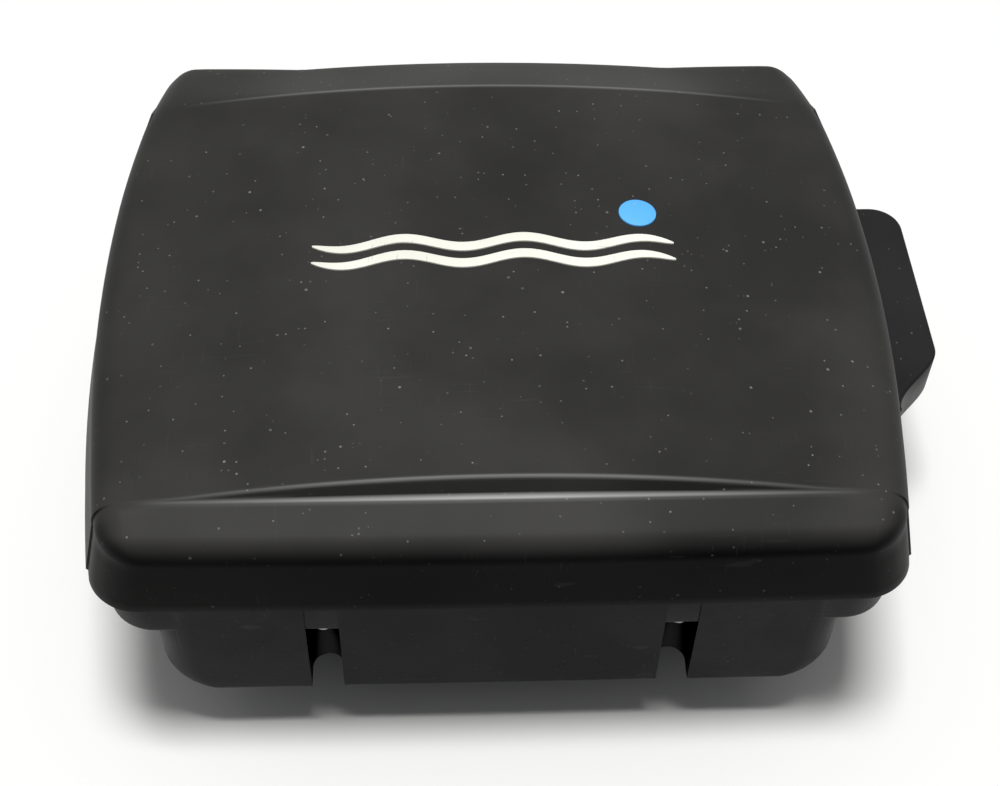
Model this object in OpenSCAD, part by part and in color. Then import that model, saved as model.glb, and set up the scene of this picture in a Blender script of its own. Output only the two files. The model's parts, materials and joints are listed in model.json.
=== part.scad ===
// Marine chartplotter display, lying on its back with its sun cover on.
// Origin: centre of the rear face, which rests on the table.
// +Z out through the screen, +X to the unit's right, +Y to its top. Millimetres.

/* [Front] */
// Width of the sun cover across its middle
cover_w = 149; // [146:0.5:152]
// Height of the sun cover down its middle
cover_h = 130; // [128:0.5:132]
// How far each side bows out past its corners
side_bow = 6.6; // [4:0.2:7]
// How far the top and bottom edges bow out
end_bow = 0.7; // [0.4:0.1:1.2]
// Corner radius of the rim
corner_r = 7.5; // [6:0.5:9]
// Corner radius of the flange before it is moved in
flange_corner_r = 11; // [9:0.5:12]
// How far the middle of the front stands above its sides
crown_rise = 4.5; // [3.5:0.25:5]
// Wall of the sun cover
cover_wall = 1.8; // [1.4:0.1:2]
// Gap between the sun cover and the bezel
cover_gap = 0.3; // [0.3:0.05:0.4]
// Wall of the bezel
bezel_wall = 2.4; // [2:0.1:2.6]

/* [Depth] */
// Height of the crown of the sun cover
crown_z = 62.5; // [62:0.1:63]
// Height of the cover's open rim
rim_z = 42.5; // [42:0.1:43]
// Height where the two case halves meet
parting_z = 44; // [43.8:0.1:44.2]
// Underside of the flange
flange_z = 32; // [31.5:0.1:32]
// Underside of the case body
body_z = 14.5; // [14:0.1:15]

/* [Rear case] */
// Width of the case body behind the flange
body_w = 119.6; // [119:0.2:120]
// Width of the raised block on the back
hump_w = 92; // [90:1:94]
// Height of the raised block on the back
hump_h = 84; // [82:1:86]
// Wall of the rear case
case_wall = 2.5; // [2.2:0.1:2.6]

/* [Controls] */
// Key travel
key_travel = 0.7; // [0.5:0.05:0.8]
// Width of a key
key_w = 17; // [16:0.5:18]
// Height of a key
key_h = 9.5; // [9:0.25:10]
// Radius of the rocker pad
rocker_r = 14; // [13:0.5:14]

/* [Card bay] */
// How far the card door stands out, measured from the centre line
door_x = 85; // [84:0.5:86]
// Wall of the card door
door_wall = 1.5; // [1.3:0.1:1.7]

/* [Hidden] */
far = 200;

// Plan outline: four bowed edges joined by round corners
side_arc_r = (pow(cover_h / 2, 2) + pow(side_bow, 2)) / (2 * side_bow);
end_arc_r = (pow(cover_w / 2, 2) + pow(end_bow, 2)) / (2 * end_bow);
side_cx = cover_w / 2 - side_arc_r;
end_cy = cover_h / 2 - end_arc_r;

// Front surface: a crown across the width, a scoop below, a falling band above
crown_r = (pow(cover_w / 2, 2) + pow(crown_rise, 2)) / (2 * crown_rise);
scoop = [-55, 60];
scoop_ang = 24;
step_ang = 60;
band_y = 45.6;
band_ang = 23;
draft_h = 21;
draft_k = 0.957;

bezel_in = cover_wall + cover_gap;
flange_in = 2.6;
body_h = cover_h - 2 * flange_in;
body_r = 7;
body_edge_r = 5.5;
hump_r = 8;

// Screws through the grooves
groove_x = 30.7;
groove_y = 58.6;
groove_r = 2.85;
case_screw_r = 1.5;
case_screw_top = 50.3;
case_boss_r = 4.2;
cross_w = 2.8;
cross_t = 0.7;
screw_head_r = 2.5;
screw_head_h = 2;

// Connector recess in the back
recess_w = 74;
recess_h = 26;
recess_y = -21;
recess_top = 14;
plug_pitch = 23;
plugs = [-plug_pitch, 0, plug_pitch];
collar_r = 7.5;
socket_r = 6.2;
collar_tip = 4.5;
plug_flange_r = 9.2;
plug_flange_z = 12.8;
barrel_r = 6.9;
barrel_top = 19.5;
plug_seal_t = 0.4;
pin_counts = [4, 4, 5];
contact_r = 0.5;
contact_ring = 3;
insert_z = [10.5, 14];
contact_tip = 8.8;

// Threads for a bracket at the sides and for a panel behind the flange
bail_z = 27.2;
bail_thread_r = 2.5;
bail_insert_r = 4;
bail_insert_l = 10;
bail_boss_r = 6;
bail_pad_t = 1.2;
bail_pad_w = 8.6;
bail_pad_h = 36;
flush_x = 64;
flush_y = 45;
flush_thread_r = 1.65;
flush_insert_r = 3;
flush_insert_l = 8;
flush_boss_r = 5;

// Vent and blank label on the back
vent_at = [30, 31];
vent_r = 1.2;
membrane_r = 4;
membrane_t = 0.4;
label_y = 26;
label_w = 50;
label_h = 20;
label_r = 2;
label_z = 0.15;
label_t = 0.35;

// Display stack
lens_x = -23.5;
lens_y = -2;
lens_w = 73;
lens_h = 91;
lens_t = 1.8;
lens_top = 56.8;
lens_r = 4;
view_w = 65;
view_h = 83;
tape_t = 0.3;
ledge_z = lens_top - lens_t - tape_t;
ledge_t = 1.6;
lcd_w = 70;
lcd_h = 92;
lcd_z = 46.7;
lcd_lip_z = 53;

// Key panel
panel_x = 41.5;
panel_y = -3.5;
panel_w = 45;
panel_h = 91;
panel_r = 7;
panel_z = 55.4;
panel_t = 1.8;
panel_under = panel_z - panel_t;
key_top = 56.7;
key_r = 3.5;
key_gap = 0.25;
key_lip = 1;
key_lip_t = 0.8;
key_left = 31;
key_right = 52;
power_r = 5.5;
zoom_out_at = [key_left, 34];
zoom_in_at = [key_right, 34];
home_at = [key_left, 20];
menu_at = [key_right, 20];
select_at = [key_left, -26];
mark_at = [key_right, -26];
power_at = [panel_x, -41];
bar_keys = [zoom_out_at, zoom_in_at, home_at, menu_at, select_at, mark_at];
rocker_at = [panel_x, -3];
rocker_z = 53.9;
ball_r = 2;
key_board_z = 48.9;
key_board_t = 1.2;
key_board_top = key_board_z + key_board_t;
mat_top = 51.6;
key_lip_z = mat_top + key_travel + 0.3;
standoff = [15.5, 40];
key_board_x = panel_x - 1;
dome_r = 3.2;

// Boards and chassis
chassis_z = 44.4;
chassis_t = 2.2;
chassis_top = chassis_z + chassis_t;
chassis_screw = [61.5, 43];
board_z = 37.7;
board_t = 1.6;
board_top = board_z + board_t;
board_w = 113;
board_h = 99;
board_screw = [50, 43];
shield_at = [-10, 6];
shield_size = [42, 36, 4];
// Each chip: centre x, centre y, width, height, thickness
chips = [[-18, 8, 15, 15, 1.6], [2, 8, 12, 18, 1.4], [-42, -12, 10, 10, 1.2], [32, -14, 9, 14, 1.6]];
antenna_at = [30, 33];
antenna_w = 25;
antenna_t = 4;
cell_at = [-42, 20];
cell_r = 6.2;
cell_t = 2.4;
beeper_at = [40, -36];
beeper_r = 6;
beeper_h = 4.5;
coil_at = [-38, 22];
coil_size = [14, 12, 10];
conn_board_z = 20;
conn_board_t = 1.6;

// Card bay on the right side
bay_x = 72.8;
door_y = [-21, 33];
door_z = [30.5, 40];
door_gap = 0.3;
door_round = 6;
door_run = 15;
door_tip_x = 75.6;
bay_root_x = 62;
bay_h = 7.6;
seal_t = 0.6;
seal_sink = 0.4;
slot_gap = 0.35;
card_y = 6;
card_w = 24;
card_l = 32;
card_t = 2.1;
card_z = 34.75;
card_out = 77;
hinge_x = 76.3;
hinge_z = 32.9;
pin_r = 0.9;
knuckle_r = 1.9;
knuckle_w = 2.6;
knuckle_gap = 0.3;
lugs = [-12, 23.5];
pin_y = -12.5;
pin_l = 43.5;

// Inlay on the cover
mark_w = 66;
mark_t = 0.35;
wave_h = 1.2;
wave_n = 3;
ribbon_w = 2.2;
ribbon_gap = 2.1;
mark_y = -1.3;
disc_at = [27, 8.6];
disc_r = 3.5;

function arc(cx, cy, r, a0, a1, n) =
    [for (i = [0:n]) [cx + r * cos(a0 + (a1 - a0) * i / n), cy + r * sin(a0 + (a1 - a0) * i / n)]];

// Centre of a corner's arc: it touches both bowed edges from inside.
// The two circles that this asks for cross on the line y = a + b * x
function corner_at(r) =
    let (
        side_d = side_arc_r - r,
        end_d = end_arc_r - r,
        a = (pow(side_d, 2) - pow(end_d, 2) + pow(end_cy, 2) - pow(side_cx, 2)) / (2 * end_cy),
        b = side_cx / end_cy,
        quad_a = 1 + b * b,
        quad_b = 2 * b * (a - end_cy),
        quad_c = pow(a - end_cy, 2) - pow(end_d, 2),
        x = (-quad_b + sqrt(quad_b * quad_b - 4 * quad_a * quad_c)) / (2 * quad_a)
    )
    [x, a + b * x];

// One corner of the plan outline, from the right side round to the top edge
function quarter(inset, r) =
    let (
        c = corner_at(r),
        side_ang = atan2(c[1], c[0] - side_cx),
        end_ang = atan2(c[1] - end_cy, c[0])
    )
    concat(
        arc(side_cx, 0, side_arc_r - inset, 0, side_ang * 0.98, 6),
        arc(c[0], c[1], r - inset, side_ang, end_ang, 6),
        arc(0, end_cy, end_arc_r - inset, end_ang + (90 - end_ang) * 0.02, 90, 4)
    );
function flip_x(pts) = [for (i = [len(pts) - 2:-1:0]) [-pts[i][0], pts[i][1]]];
function flip_y(pts) = [for (i = [len(pts) - 2:-1:1]) [pts[i][0], -pts[i][1]]];
function upper_half(inset, r) = concat(quarter(inset, r), flip_x(quarter(inset, r)));
function outline(inset, r = corner_r) = concat(upper_half(inset, r), flip_y(upper_half(inset, r)));

// How a corner between two slopes moves when both slopes move in by one
function corner_step(a, b) = [(sin(a) + sin(b)), -(cos(a) + cos(b))] / (1 + cos(b - a));

function smooth(t) = t * t * (3 - 2 * t);

// Rectangle with round corners, centred
module pad(w, h, r) {
    square([w - 2 * r, h], center = true);
    square([w, h - 2 * r], center = true);
    for (x = [-1, 1], y = [-1, 1])
        translate([x * (w / 2 - r), y * (h / 2 - r)]) circle(r = r, $fn = 48);
}

module slab(w, h, r, z, t) {
    translate([0, 0, z]) linear_extrude(t) pad(w, h, r);
}

module rod(r, z0, z1, fn = 48) {
    translate([0, 0, z0]) cylinder(r = r, h = z1 - z0, $fn = fn);
}

module four(p) {
    for (x = [-1, 1], y = [-1, 1])
        translate([x * p[0], y * p[1], 0]) children();
}

module bowed(inset, z0, z1, r = flange_corner_r) {
    translate([0, 0, z0]) linear_extrude(z1 - z0) polygon(outline(inset, r));
}

// Front of the unit as a solid, all faces moved in by the inset
module front_form(inset, base_z) {
    scoop_at = scoop + inset * corner_step(scoop_ang, step_ang);
    difference() {
        intersection() {
            translate([0, 0, rim_z])
                linear_extrude(draft_h, scale = [draft_k, draft_k])
                    polygon(outline(inset));
            translate([0, far, crown_z - crown_r])
                rotate([90, 0, 0])
                    cylinder(r = crown_r - inset, h = 2 * far, $fn = 720);
            translate([0, band_y, crown_z])
                rotate([-band_ang, 0, 0])
                    translate([0, far, -crown_r])
                        rotate([90, 0, 0])
                            cylinder(r = crown_r - inset, h = 2 * far, $fn = 720);
        }
        // the scoop below the screen
        rotate([90, 0, 90])
            translate([0, 0, -far / 2])
                linear_extrude(far)
                    polygon([
                        scoop_at,
                        scoop_at + 40 * [cos(step_ang), sin(step_ang)],
                        scoop_at + [-40, 40],
                        scoop_at - 40 * [cos(scoop_ang), sin(scoop_ang)],
                    ]);
        translate([-far / 2, -far / 2, rim_z - 5]) cube([far, far, base_z - rim_z + 5]);
    }
}

// ---------- sun cover ----------

module sun_cover() {
    color("#3d3d3d")
        difference() {
            front_form(0, rim_z);
            front_form(cover_wall, rim_z);
            translate([0, 0, -1]) bowed(cover_wall, rim_z, rim_z + 1.2, corner_r);
        }
}

module crown_layer(t) {
    intersection() {
        translate([0, 0, crown_z - 3]) linear_extrude(6) children();
        difference() {
            translate([0, far / 2, crown_z - crown_r])
                rotate([90, 0, 0]) cylinder(r = crown_r + t, h = far, $fn = 720);
            translate([0, far / 2 + 1, crown_z - crown_r])
                rotate([90, 0, 0]) cylinder(r = crown_r, h = far + 2, $fn = 720);
        }
    }
}

function wave(x, y, w) = y + wave_h * sin(360 * wave_n * x / mark_w) + w;

module ribbon(y) {
    n = 48;
    polygon(concat(
        [for (i = [0:n]) let (x = mark_w * (i / n - 0.5)) [x, wave(x, y, -ribbon_w / 2)]],
        [for (i = [n:-1:0]) let (x = mark_w * (i / n - 0.5)) [x, wave(x, y, ribbon_w / 2)]]
    ));
}

module emblem_waves() {
    color("#e6e6e2")
        for (side = [-1, 1])
            crown_layer(mark_t) ribbon(mark_y + side * ribbon_gap);
}

module emblem_disc() {
    color("#2a6fb5")
        crown_layer(mark_t)
            translate(disc_at) circle(r = disc_r, $fn = 64);
}

// ---------- rear case ----------

module case_body(shrink, z0, z1) {
    intersection() {
        bowed(flange_in + shrink, z0, z1);
        slab(body_w - 2 * shrink, body_h + 2 - 2 * shrink, body_r - shrink, z0, z1 - z0);
        translate([0, far / 2, 0])
            rotate([90, 0, 0])
                linear_extrude(far)
                    translate([0, body_z + shrink + 30])
                        pad(body_w - 2 * shrink, 60, body_edge_r - shrink);
    }
}

module at_plugs() {
    for (x = plugs)
        translate([x, recess_y, 0]) children();
}

module groove_block(r) {
    for (x = [-groove_x, groove_x], y = [-1, 1]) {
        translate([x, y * groove_y, 0]) rod(r, body_z - 1, flange_z);
        translate([x - r, y > 0 ? groove_y : -groove_y - 12, body_z - 1])
            cube([2 * r, 12, flange_z - body_z + 1]);
    }
}

module rear_housing() {
    color("#2c2c2e")
        difference() {
            union() {
                difference() {
                    union() {
                        bowed(flange_in, flange_z, parting_z);
                        case_body(0, body_z, flange_z + 1);
                        slab(hump_w, hump_h, hump_r, 0, body_z + 2);
                        bay_block();
                    }
                    difference() {
                        union() {
                            bowed(flange_in + case_wall, flange_z + 2, parting_z + 1);
                            case_body(case_wall, body_z + case_wall, flange_z + 3);
                            slab(hump_w - 2 * case_wall, hump_h - 2 * case_wall,
                                hump_r - case_wall, case_wall, body_z + 2);
                        }
                        // what stays solid inside
                        groove_block(groove_r + 2);
                        translate([0, recess_y, 0])
                            slab(recess_w + 2 * case_wall, recess_h + 2 * case_wall,
                                4, 0, recess_top + case_wall);
                        four([groove_x, groove_y]) rod(case_boss_r, flange_z - 1, parting_z);
                        four([flush_x, flush_y])
                            rod(flush_boss_r, flange_z - 1, flange_z + flush_insert_l + 1.5);
                        bail_axis(body_w / 2 - bail_insert_l - 1.7)
                            cylinder(r = bail_boss_r, h = bail_insert_l, $fn = 48);
                    }
                }
                hinge_lugs();
            }
            groove_block(groove_r);
            translate([0, recess_y, 0]) slab(recess_w, recess_h, 3, -1, recess_top + 1);
            at_plugs() rod(barrel_r, recess_top - 1, recess_top + 4);
            four([groove_x, groove_y]) rod(case_screw_r + 0.2, flange_z - 1, parting_z + 1);
            four([flush_x, flush_y]) rod(flush_insert_r, flange_z - 1, flange_z + flush_insert_l);
            bail_axis(body_w / 2 - bail_insert_l)
                cylinder(r = bail_insert_r, h = bail_insert_l + 1, $fn = 48);
            gasket_ring(parting_z - 1, 2);
            door_seal(bay_x - seal_sink, 1);
            card_slot();
            along_y(hinge_x, hinge_z, pin_y, pin_l, pin_r + 0.05);
            translate(vent_at) rod(vent_r, -1, case_wall + 1);
            translate([0, label_y, 0]) slab(label_w + 0.4, label_h + 0.4, label_r + 0.2, -1, 1.5);
        }
}

module bail_axis(x) {
    for (side = [0, 180])
        rotate([0, 0, side])
            translate([x, 0, bail_z]) rotate([0, 90, 0]) children();
}

module gasket_ring(z, t) {
    difference() {
        bowed(flange_in + 0.9, z, z + t);
        translate([0, 0, -1]) bowed(flange_in + 1.9, z, z + t + 2);
    }
}

module bay_block() {
    translate([bay_root_x, door_y[0] + 1, flange_z])
        cube([bay_x - bay_root_x, door_y[1] - door_y[0] - 2, bay_h]);
}

module card_slot() {
    translate([bay_root_x + 2, card_y - card_w / 2 - 0.6, card_z - slot_gap])
        cube([bay_x - bay_root_x, card_w + 1.2, card_t + 2 * slot_gap]);
}

module along_y(x, z, y0, len, r) {
    translate([x, y0, z]) rotate([-90, 0, 0]) cylinder(r = r, h = len, $fn = 48);
}

module hinge_lugs() {
    for (y = lugs) {
        along_y(hinge_x, hinge_z, y, knuckle_w, knuckle_r);
        translate([bay_x - 1, y, hinge_z - 0.9])
            cube([hinge_x - bay_x + 1, knuckle_w, knuckle_r + 0.9]);
    }
}

module case_screws() {
    color("#b9bcc0")
        four([groove_x, groove_y])
            difference() {
                union() {
                    rod(screw_head_r, flange_z - screw_head_h, flange_z);
                    rod(case_screw_r, flange_z, case_screw_top);
                }
                // cross recess
                for (a = [0, 90])
                    rotate([0, 0, a])
                        translate([-cross_w / 2, -cross_t / 2, flange_z - screw_head_h - 1])
                            cube([cross_w, cross_t, 2]);
            }
}

module bezel_gasket() {
    color("#161616") gasket_ring(parting_z - 1, 1);
}

module bail_inserts() {
    color("#c9a14a")
        bail_axis(body_w / 2 - bail_insert_l)
            difference() {
                cylinder(r = bail_insert_r, h = bail_insert_l, $fn = 48);
                translate([0, 0, -1]) cylinder(r = bail_thread_r, h = bail_insert_l + 2, $fn = 48);
            }
}

module bail_pads() {
    color("#1b1b1c")
        bail_axis(body_w / 2)
            difference() {
                linear_extrude(bail_pad_t) pad(bail_pad_w, bail_pad_h, 2);
                translate([0, 0, -1]) cylinder(r = bail_thread_r + 0.7, h = 4, $fn = 48);
            }
}

module flush_inserts() {
    color("#c9a14a")
        four([flush_x, flush_y])
            difference() {
                rod(flush_insert_r, flange_z, flange_z + flush_insert_l);
                rod(flush_thread_r, flange_z - 1, flange_z + flush_insert_l + 1);
            }
}

module vent_membrane() {
    color("#d8d8d4") translate(vent_at) rod(membrane_r, case_wall, case_wall + membrane_t);
}

module rear_label() {
    color("#a8aaad") translate([0, label_y, 0]) slab(label_w, label_h, label_r, label_z, label_t);
}

// ---------- bezel and controls ----------

module bar_key_shape(grow) {
    pad(key_w + 2 * grow, key_h + 2 * grow, key_r + grow);
}

module front_bezel() {
    color("#242426")
        difference() {
            front_form(bezel_in, parting_z);
            difference() {
                front_form(bezel_in + bezel_wall, parting_z - 1);
                four([groove_x, groove_y]) rod(case_boss_r - 0.2, parting_z - 1, case_screw_top + 4);
                four(chassis_screw) rod(2.3, chassis_top, 56);
                translate([lens_x, lens_y, 0])
                    slab(lens_w + 4, lens_h + 4, 5, ledge_z - ledge_t, 10);
                translate([panel_x, panel_y, 0])
                    slab(panel_w + 4, panel_h + 4, 8, panel_under, 10);
            }
            four([groove_x, groove_y])
                rod(case_screw_r + 0.05, parting_z - 1, case_screw_top + 0.5);
            four(chassis_screw) rod(1.25, chassis_top - 1, 53);
            translate([lens_x, lens_y, 0]) {
                slab(lens_w + 0.3, lens_h + 0.3, lens_r, ledge_z, 10);
                slab(view_w, view_h, 2, ledge_z - 5, 10);
            }
            translate([panel_x, panel_y, 0]) slab(panel_w, panel_h, panel_r, panel_z, 10);
            for (p = bar_keys)
                translate([p[0], p[1], 50]) linear_extrude(10) bar_key_shape(key_gap);
            translate([power_at[0], power_at[1], 0]) rod(power_r + key_gap, 50, 60);
            translate([rocker_at[0], rocker_at[1], 0]) rod(rocker_r + 0.5, 50, 60);
        }
}

module display_lens() {
    color("#0d0f12")
        translate([lens_x, lens_y, 0])
            slab(lens_w, lens_h, lens_r - 0.15, lens_top - lens_t, lens_t);
}

module lens_tape() {
    color("#101010")
        translate([lens_x, lens_y, 0])
            difference() {
                slab(lens_w - 0.5, lens_h - 0.5, lens_r - 0.4, ledge_z, tape_t);
                slab(view_w + 0.5, view_h + 0.5, 2, ledge_z - 1, 2);
            }
}

module lcd_frame() {
    color("#9b9fa4")
        translate([lens_x, lens_y, 0])
            difference() {
                slab(lcd_w, lcd_h, 1.5, lcd_z, lcd_lip_z - lcd_z);
                slab(lcd_w - 1.2, lcd_h - 1.2, 1, lcd_z + 0.5, lcd_lip_z - lcd_z - 1);
                slab(view_w - 2, view_h - 2, 1, lcd_z + 1, 10);
            }
}

module lcd_backlight() {
    color("#e4e6e8")
        translate([lens_x, lens_y, 0]) slab(lcd_w - 1.6, lcd_h - 1.6, 0.8, lcd_z + 0.5, 3.4);
}

module lcd_panel() {
    color("#11161d")
        translate([lens_x, lens_y, 0]) slab(lcd_w - 1.6, lcd_h - 1.6, 0.8, lcd_z + 3.9, 1.8);
}

module display_ribbon() {
    strip_y = lens_y - lcd_h / 2;
    color("#b5782a")
        translate([lens_x - 10, 0, 0])
            rotate([90, 0, 90])
                linear_extrude(20)
                    polygon([
                        [strip_y, 49], [strip_y - 0.7, 49], [strip_y - 0.7, board_top],
                        [strip_y + 4, board_top], [strip_y + 4, board_top + 0.3],
                        [strip_y - 0.4, board_top + 0.3], [strip_y - 0.4, 48.7], [strip_y, 48.7],
                    ]);
}

module keypad_board() {
    color("#1f5a3a")
        translate([key_board_x, panel_y, 0])
            difference() {
                slab(36, 88, 2, key_board_z, key_board_t);
                four(standoff) rod(0.9, key_board_z - 1, key_board_z + 2);
            }
}

module at_keys() {
    for (p = concat(bar_keys, [power_at]))
        translate([p[0], p[1], 0]) children();
}

module key_domes() {
    color("#c8cacc")
        at_keys()
            translate([0, 0, key_board_top])
                cylinder(r1 = dome_r, r2 = dome_r - 1.2, h = 0.4, $fn = 48);
}

module keypad_mat() {
    color("#4a4d52")
        difference() {
            translate([key_board_x, panel_y, 0])
                slab(37, 88, 3, key_board_top, mat_top - key_board_top);
            at_keys() rod(dome_r + 1, key_board_top - 1, key_board_top + 0.7);
            translate([rocker_at[0], rocker_at[1], 0]) rod(3.4, key_board_top - 1, mat_top + 1);
        }
}

module bar_key(p) {
    translate([p[0], p[1], 0]) {
        translate([0, 0, key_lip_z + key_lip_t / 2])
            linear_extrude(key_top - key_lip_z - key_lip_t / 2) bar_key_shape(0);
        translate([0, 0, key_lip_z]) linear_extrude(key_lip_t) bar_key_shape(key_lip);
    }
}

module key_zoom_out() { color("#3a3c40") bar_key(zoom_out_at); }
module key_zoom_in() { color("#3a3c40") bar_key(zoom_in_at); }
module key_home() { color("#3a3c40") bar_key(home_at); }
module key_menu() { color("#3a3c40") bar_key(menu_at); }
module key_select() { color("#3a3c40") bar_key(select_at); }
module key_mark() { color("#3a3c40") bar_key(mark_at); }

module key_power() {
    color("#3a3c40")
        translate([power_at[0], power_at[1], 0]) {
            rod(power_r, key_lip_z + key_lip_t / 2, key_top);
            rod(power_r + key_lip, key_lip_z, key_lip_z + key_lip_t);
        }
}

module rocker_seat() {
    color("#85888c")
        translate([rocker_at[0], rocker_at[1], 0]) rod(3, key_board_top, rocker_z - ball_r - 0.05);
}

module rocker_post() {
    color("#85888c")
        translate([rocker_at[0], rocker_at[1], rocker_z]) sphere(r = ball_r, $fn = 48);
}

module rocker_pad() {
    color("#3a3c40")
        translate([rocker_at[0], rocker_at[1], 0])
            difference() {
                rod(rocker_r, rocker_z - 0.5, lens_top, 96);
                translate([0, 0, rocker_z]) sphere(r = ball_r + 0.1, $fn = 48);
                rod(ball_r + 0.1, rocker_z - 2, rocker_z);
                // dish in the top
                translate([0, 0, lens_top + 40]) sphere(r = 40.8, $fn = 360);
            }
}

// ---------- boards ----------

module inner_chassis() {
    color("#8d9094")
        difference() {
            union() {
                slab(132, 96, 6, chassis_z, chassis_t);
                translate([key_board_x, panel_y, 0])
                    four(standoff) rod(1.6, chassis_top, key_board_z);
                four(board_screw) rod(2.6, board_top, chassis_z);
            }
            four(chassis_screw) rod(1.4, chassis_z - 1, chassis_top + 1);
            four(board_screw) rod(1.1, board_top - 1, chassis_top - 0.6);
            translate([lens_x, lens_y, 0]) slab(48, 66, 4, chassis_z - 1, 4);
            translate([key_board_x, -8, 0]) slab(24, 40, 3, chassis_z - 1, 4);
        }
}

module chassis_screws() {
    color("#b9bcc0")
        four(chassis_screw) {
            rod(2.2, chassis_z - 1.5, chassis_z);
            rod(1.2, chassis_z, 52);
        }
}

module main_board() {
    color("#1f5a3a")
        difference() {
            union() {
                slab(board_w, board_h, 3, board_z, board_t);
                translate([board_w / 2 - 5, card_y - 15, board_z]) cube([15.5, 30, board_t]);
            }
            four(board_screw) rod(1.4, board_z - 1, board_top + 1);
        }
}

module board_screws() {
    color("#b9bcc0")
        four(board_screw) {
            rod(2.3, board_z - 1.5, board_z);
            rod(1.05, board_z, chassis_z);
        }
}

module board_shield() {
    color("#b4b7ba")
        translate(shield_at)
            difference() {
                slab(shield_size[0], shield_size[1], 1, board_top, shield_size[2]);
                slab(shield_size[0] - 1, shield_size[1] - 1, 0.6, board_top - 1, shield_size[2] + 0.6);
            }
}

module board_chips() {
    color("#17181a")
        for (c = chips)
            translate([c[0], c[1], 0]) slab(c[2], c[3], 0.5, board_top, c[4]);
}

module gps_antenna() {
    color("#c9bfa5") translate(antenna_at) slab(antenna_w, antenna_w, 1, board_top, antenna_t);
}

module backup_cell() {
    color("#c0c3c6") translate(cell_at) rod(cell_r, board_top, board_top + cell_t);
}

module beeper() {
    color("#1a1a1a")
        translate(beeper_at)
            difference() {
                rod(beeper_r, board_z - beeper_h, board_z);
                rod(1, board_z - beeper_h - 1, board_z - 1);
            }
}

module sounder_transformer() {
    color("#7a4a22")
        translate(coil_at)
            slab(coil_size[0], coil_size[1], 1, board_z - coil_size[2], coil_size[2]);
}

module card_socket() {
    color("#a9acb0")
        translate([44, card_y - 14.5, card_z - 0.6])
            difference() {
                cube([24, 29, board_z - card_z + 0.6]);
                translate([1, 14.5 - card_w / 2 - 0.3, 0.3]) cube([30, card_w + 0.6, card_t + 0.6]);
            }
}

module memory_card() {
    color("#24344f")
        translate([card_out - card_l, card_y - card_w / 2, card_z])
            cube([card_l, card_w, card_t]);
}

// ---------- card door ----------

// Plan of the door: square far end with a round corner, ogee near end
function door_plan(inset) =
    let (
        x_out = door_x - inset,
        y_far = door_y[1] - inset,
        r = door_round - inset,
        x_in = inset > 0 ? bay_x - 1 : bay_x + door_gap,
        y_turn = door_y[0] + door_run + inset,
        x_tip = door_tip_x - inset
    )
    concat(
        [[x_in, y_far]],
        [for (i = [0:8]) [x_out - r + r * cos(90 - i * 90 / 8), y_far - r + r * sin(90 - i * 90 / 8)]],
        [for (i = [0:16]) let (t = i / 16) [x_out - (x_out - x_tip) * smooth(t), y_turn - door_run * t]],
        [[x_in, door_y[0] + inset]]
    );

module card_door() {
    color("#2c2c2e")
        difference() {
            union() {
                difference() {
                    translate([0, 0, door_z[0]])
                        linear_extrude(door_z[1] - door_z[0]) polygon(door_plan(0));
                    translate([0, 0, door_z[0] + door_wall])
                        linear_extrude(door_z[1] - door_z[0] - 2 * door_wall)
                            polygon(door_plan(door_wall));
                    // the floor stops short of the case so that it can swing past it
                    translate([bay_x - 1, door_y[0] - 1, door_z[0] - 1])
                        cube([hinge_x - bay_x - 0.1, 60, door_wall + 1]);
                    for (y = lugs)
                        translate([bay_x, y - knuckle_gap, door_z[0] - 1])
                            cube([hinge_x - bay_x + 3.4, knuckle_w + 2 * knuckle_gap, door_wall + 1.01]);
                }
                for (y = lugs)
                    along_y(hinge_x, hinge_z, y + knuckle_w + knuckle_gap, knuckle_w, knuckle_r);
            }
            along_y(hinge_x, hinge_z, pin_y, pin_l + 0.2, pin_r + 0.05);
        }
}

module door_hinge_pin() {
    color("#b9bcc0") along_y(hinge_x, hinge_z, pin_y, pin_l, pin_r);
}

// Ring round the card slot, from x over the length t
module door_seal(x, t) {
    translate([x, card_y, card_z + card_t / 2 - 0.2])
        rotate([90, 0, 90])
            linear_extrude(t)
                difference() {
                    pad(card_w + 6, 6.4, 1.4);
                    pad(card_w + 2.4, 3.8, 0.8);
                }
}

module door_gasket() {
    color("#161616") door_seal(bay_x - seal_sink, seal_t);
}

// ---------- connectors ----------

module connector() {
    difference() {
        union() {
            rod(collar_r, collar_tip, recess_top, 96);
            rod(plug_flange_r, plug_flange_z, recess_top - plug_seal_t, 96);
            rod(barrel_r - 0.1, plug_flange_z, barrel_top, 96);
        }
        rod(socket_r, collar_tip - 1, barrel_top + 1, 96);
    }
}

module plug_at(i) {
    translate([plugs[i], recess_y, 0]) children();
}

module power_connector() { color("#1c1d1f") plug_at(1) connector(); }
module transducer_connector() { color("#1c1d1f") plug_at(0) connector(); }
module network_connector() { color("#1c1d1f") plug_at(2) connector(); }

module contacts(n, r, z0, z1) {
    for (i = [0:n - 1])
        rotate([0, 0, i * 360 / n + 45])
            translate([contact_ring, 0, 0]) rod(r, z0, z1, 24);
}

module connector_inserts() {
    color("#3b3d40")
        for (i = [0:2])
            plug_at(i)
                difference() {
                    rod(socket_r, insert_z[0], insert_z[1]);
                    contacts(pin_counts[i], contact_r, insert_z[0] - 1, insert_z[1] + 1);
                }
}

module connector_pins() {
    color("#d6b45a")
        for (i = [0:2])
            plug_at(i) contacts(pin_counts[i], contact_r, contact_tip, conn_board_z);
}

module connector_seals() {
    color("#161616")
        at_plugs()
            difference() {
                rod(plug_flange_r - 0.4, recess_top - plug_seal_t, recess_top);
                rod(collar_r, recess_top - 1, recess_top + 1);
            }
}

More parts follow.
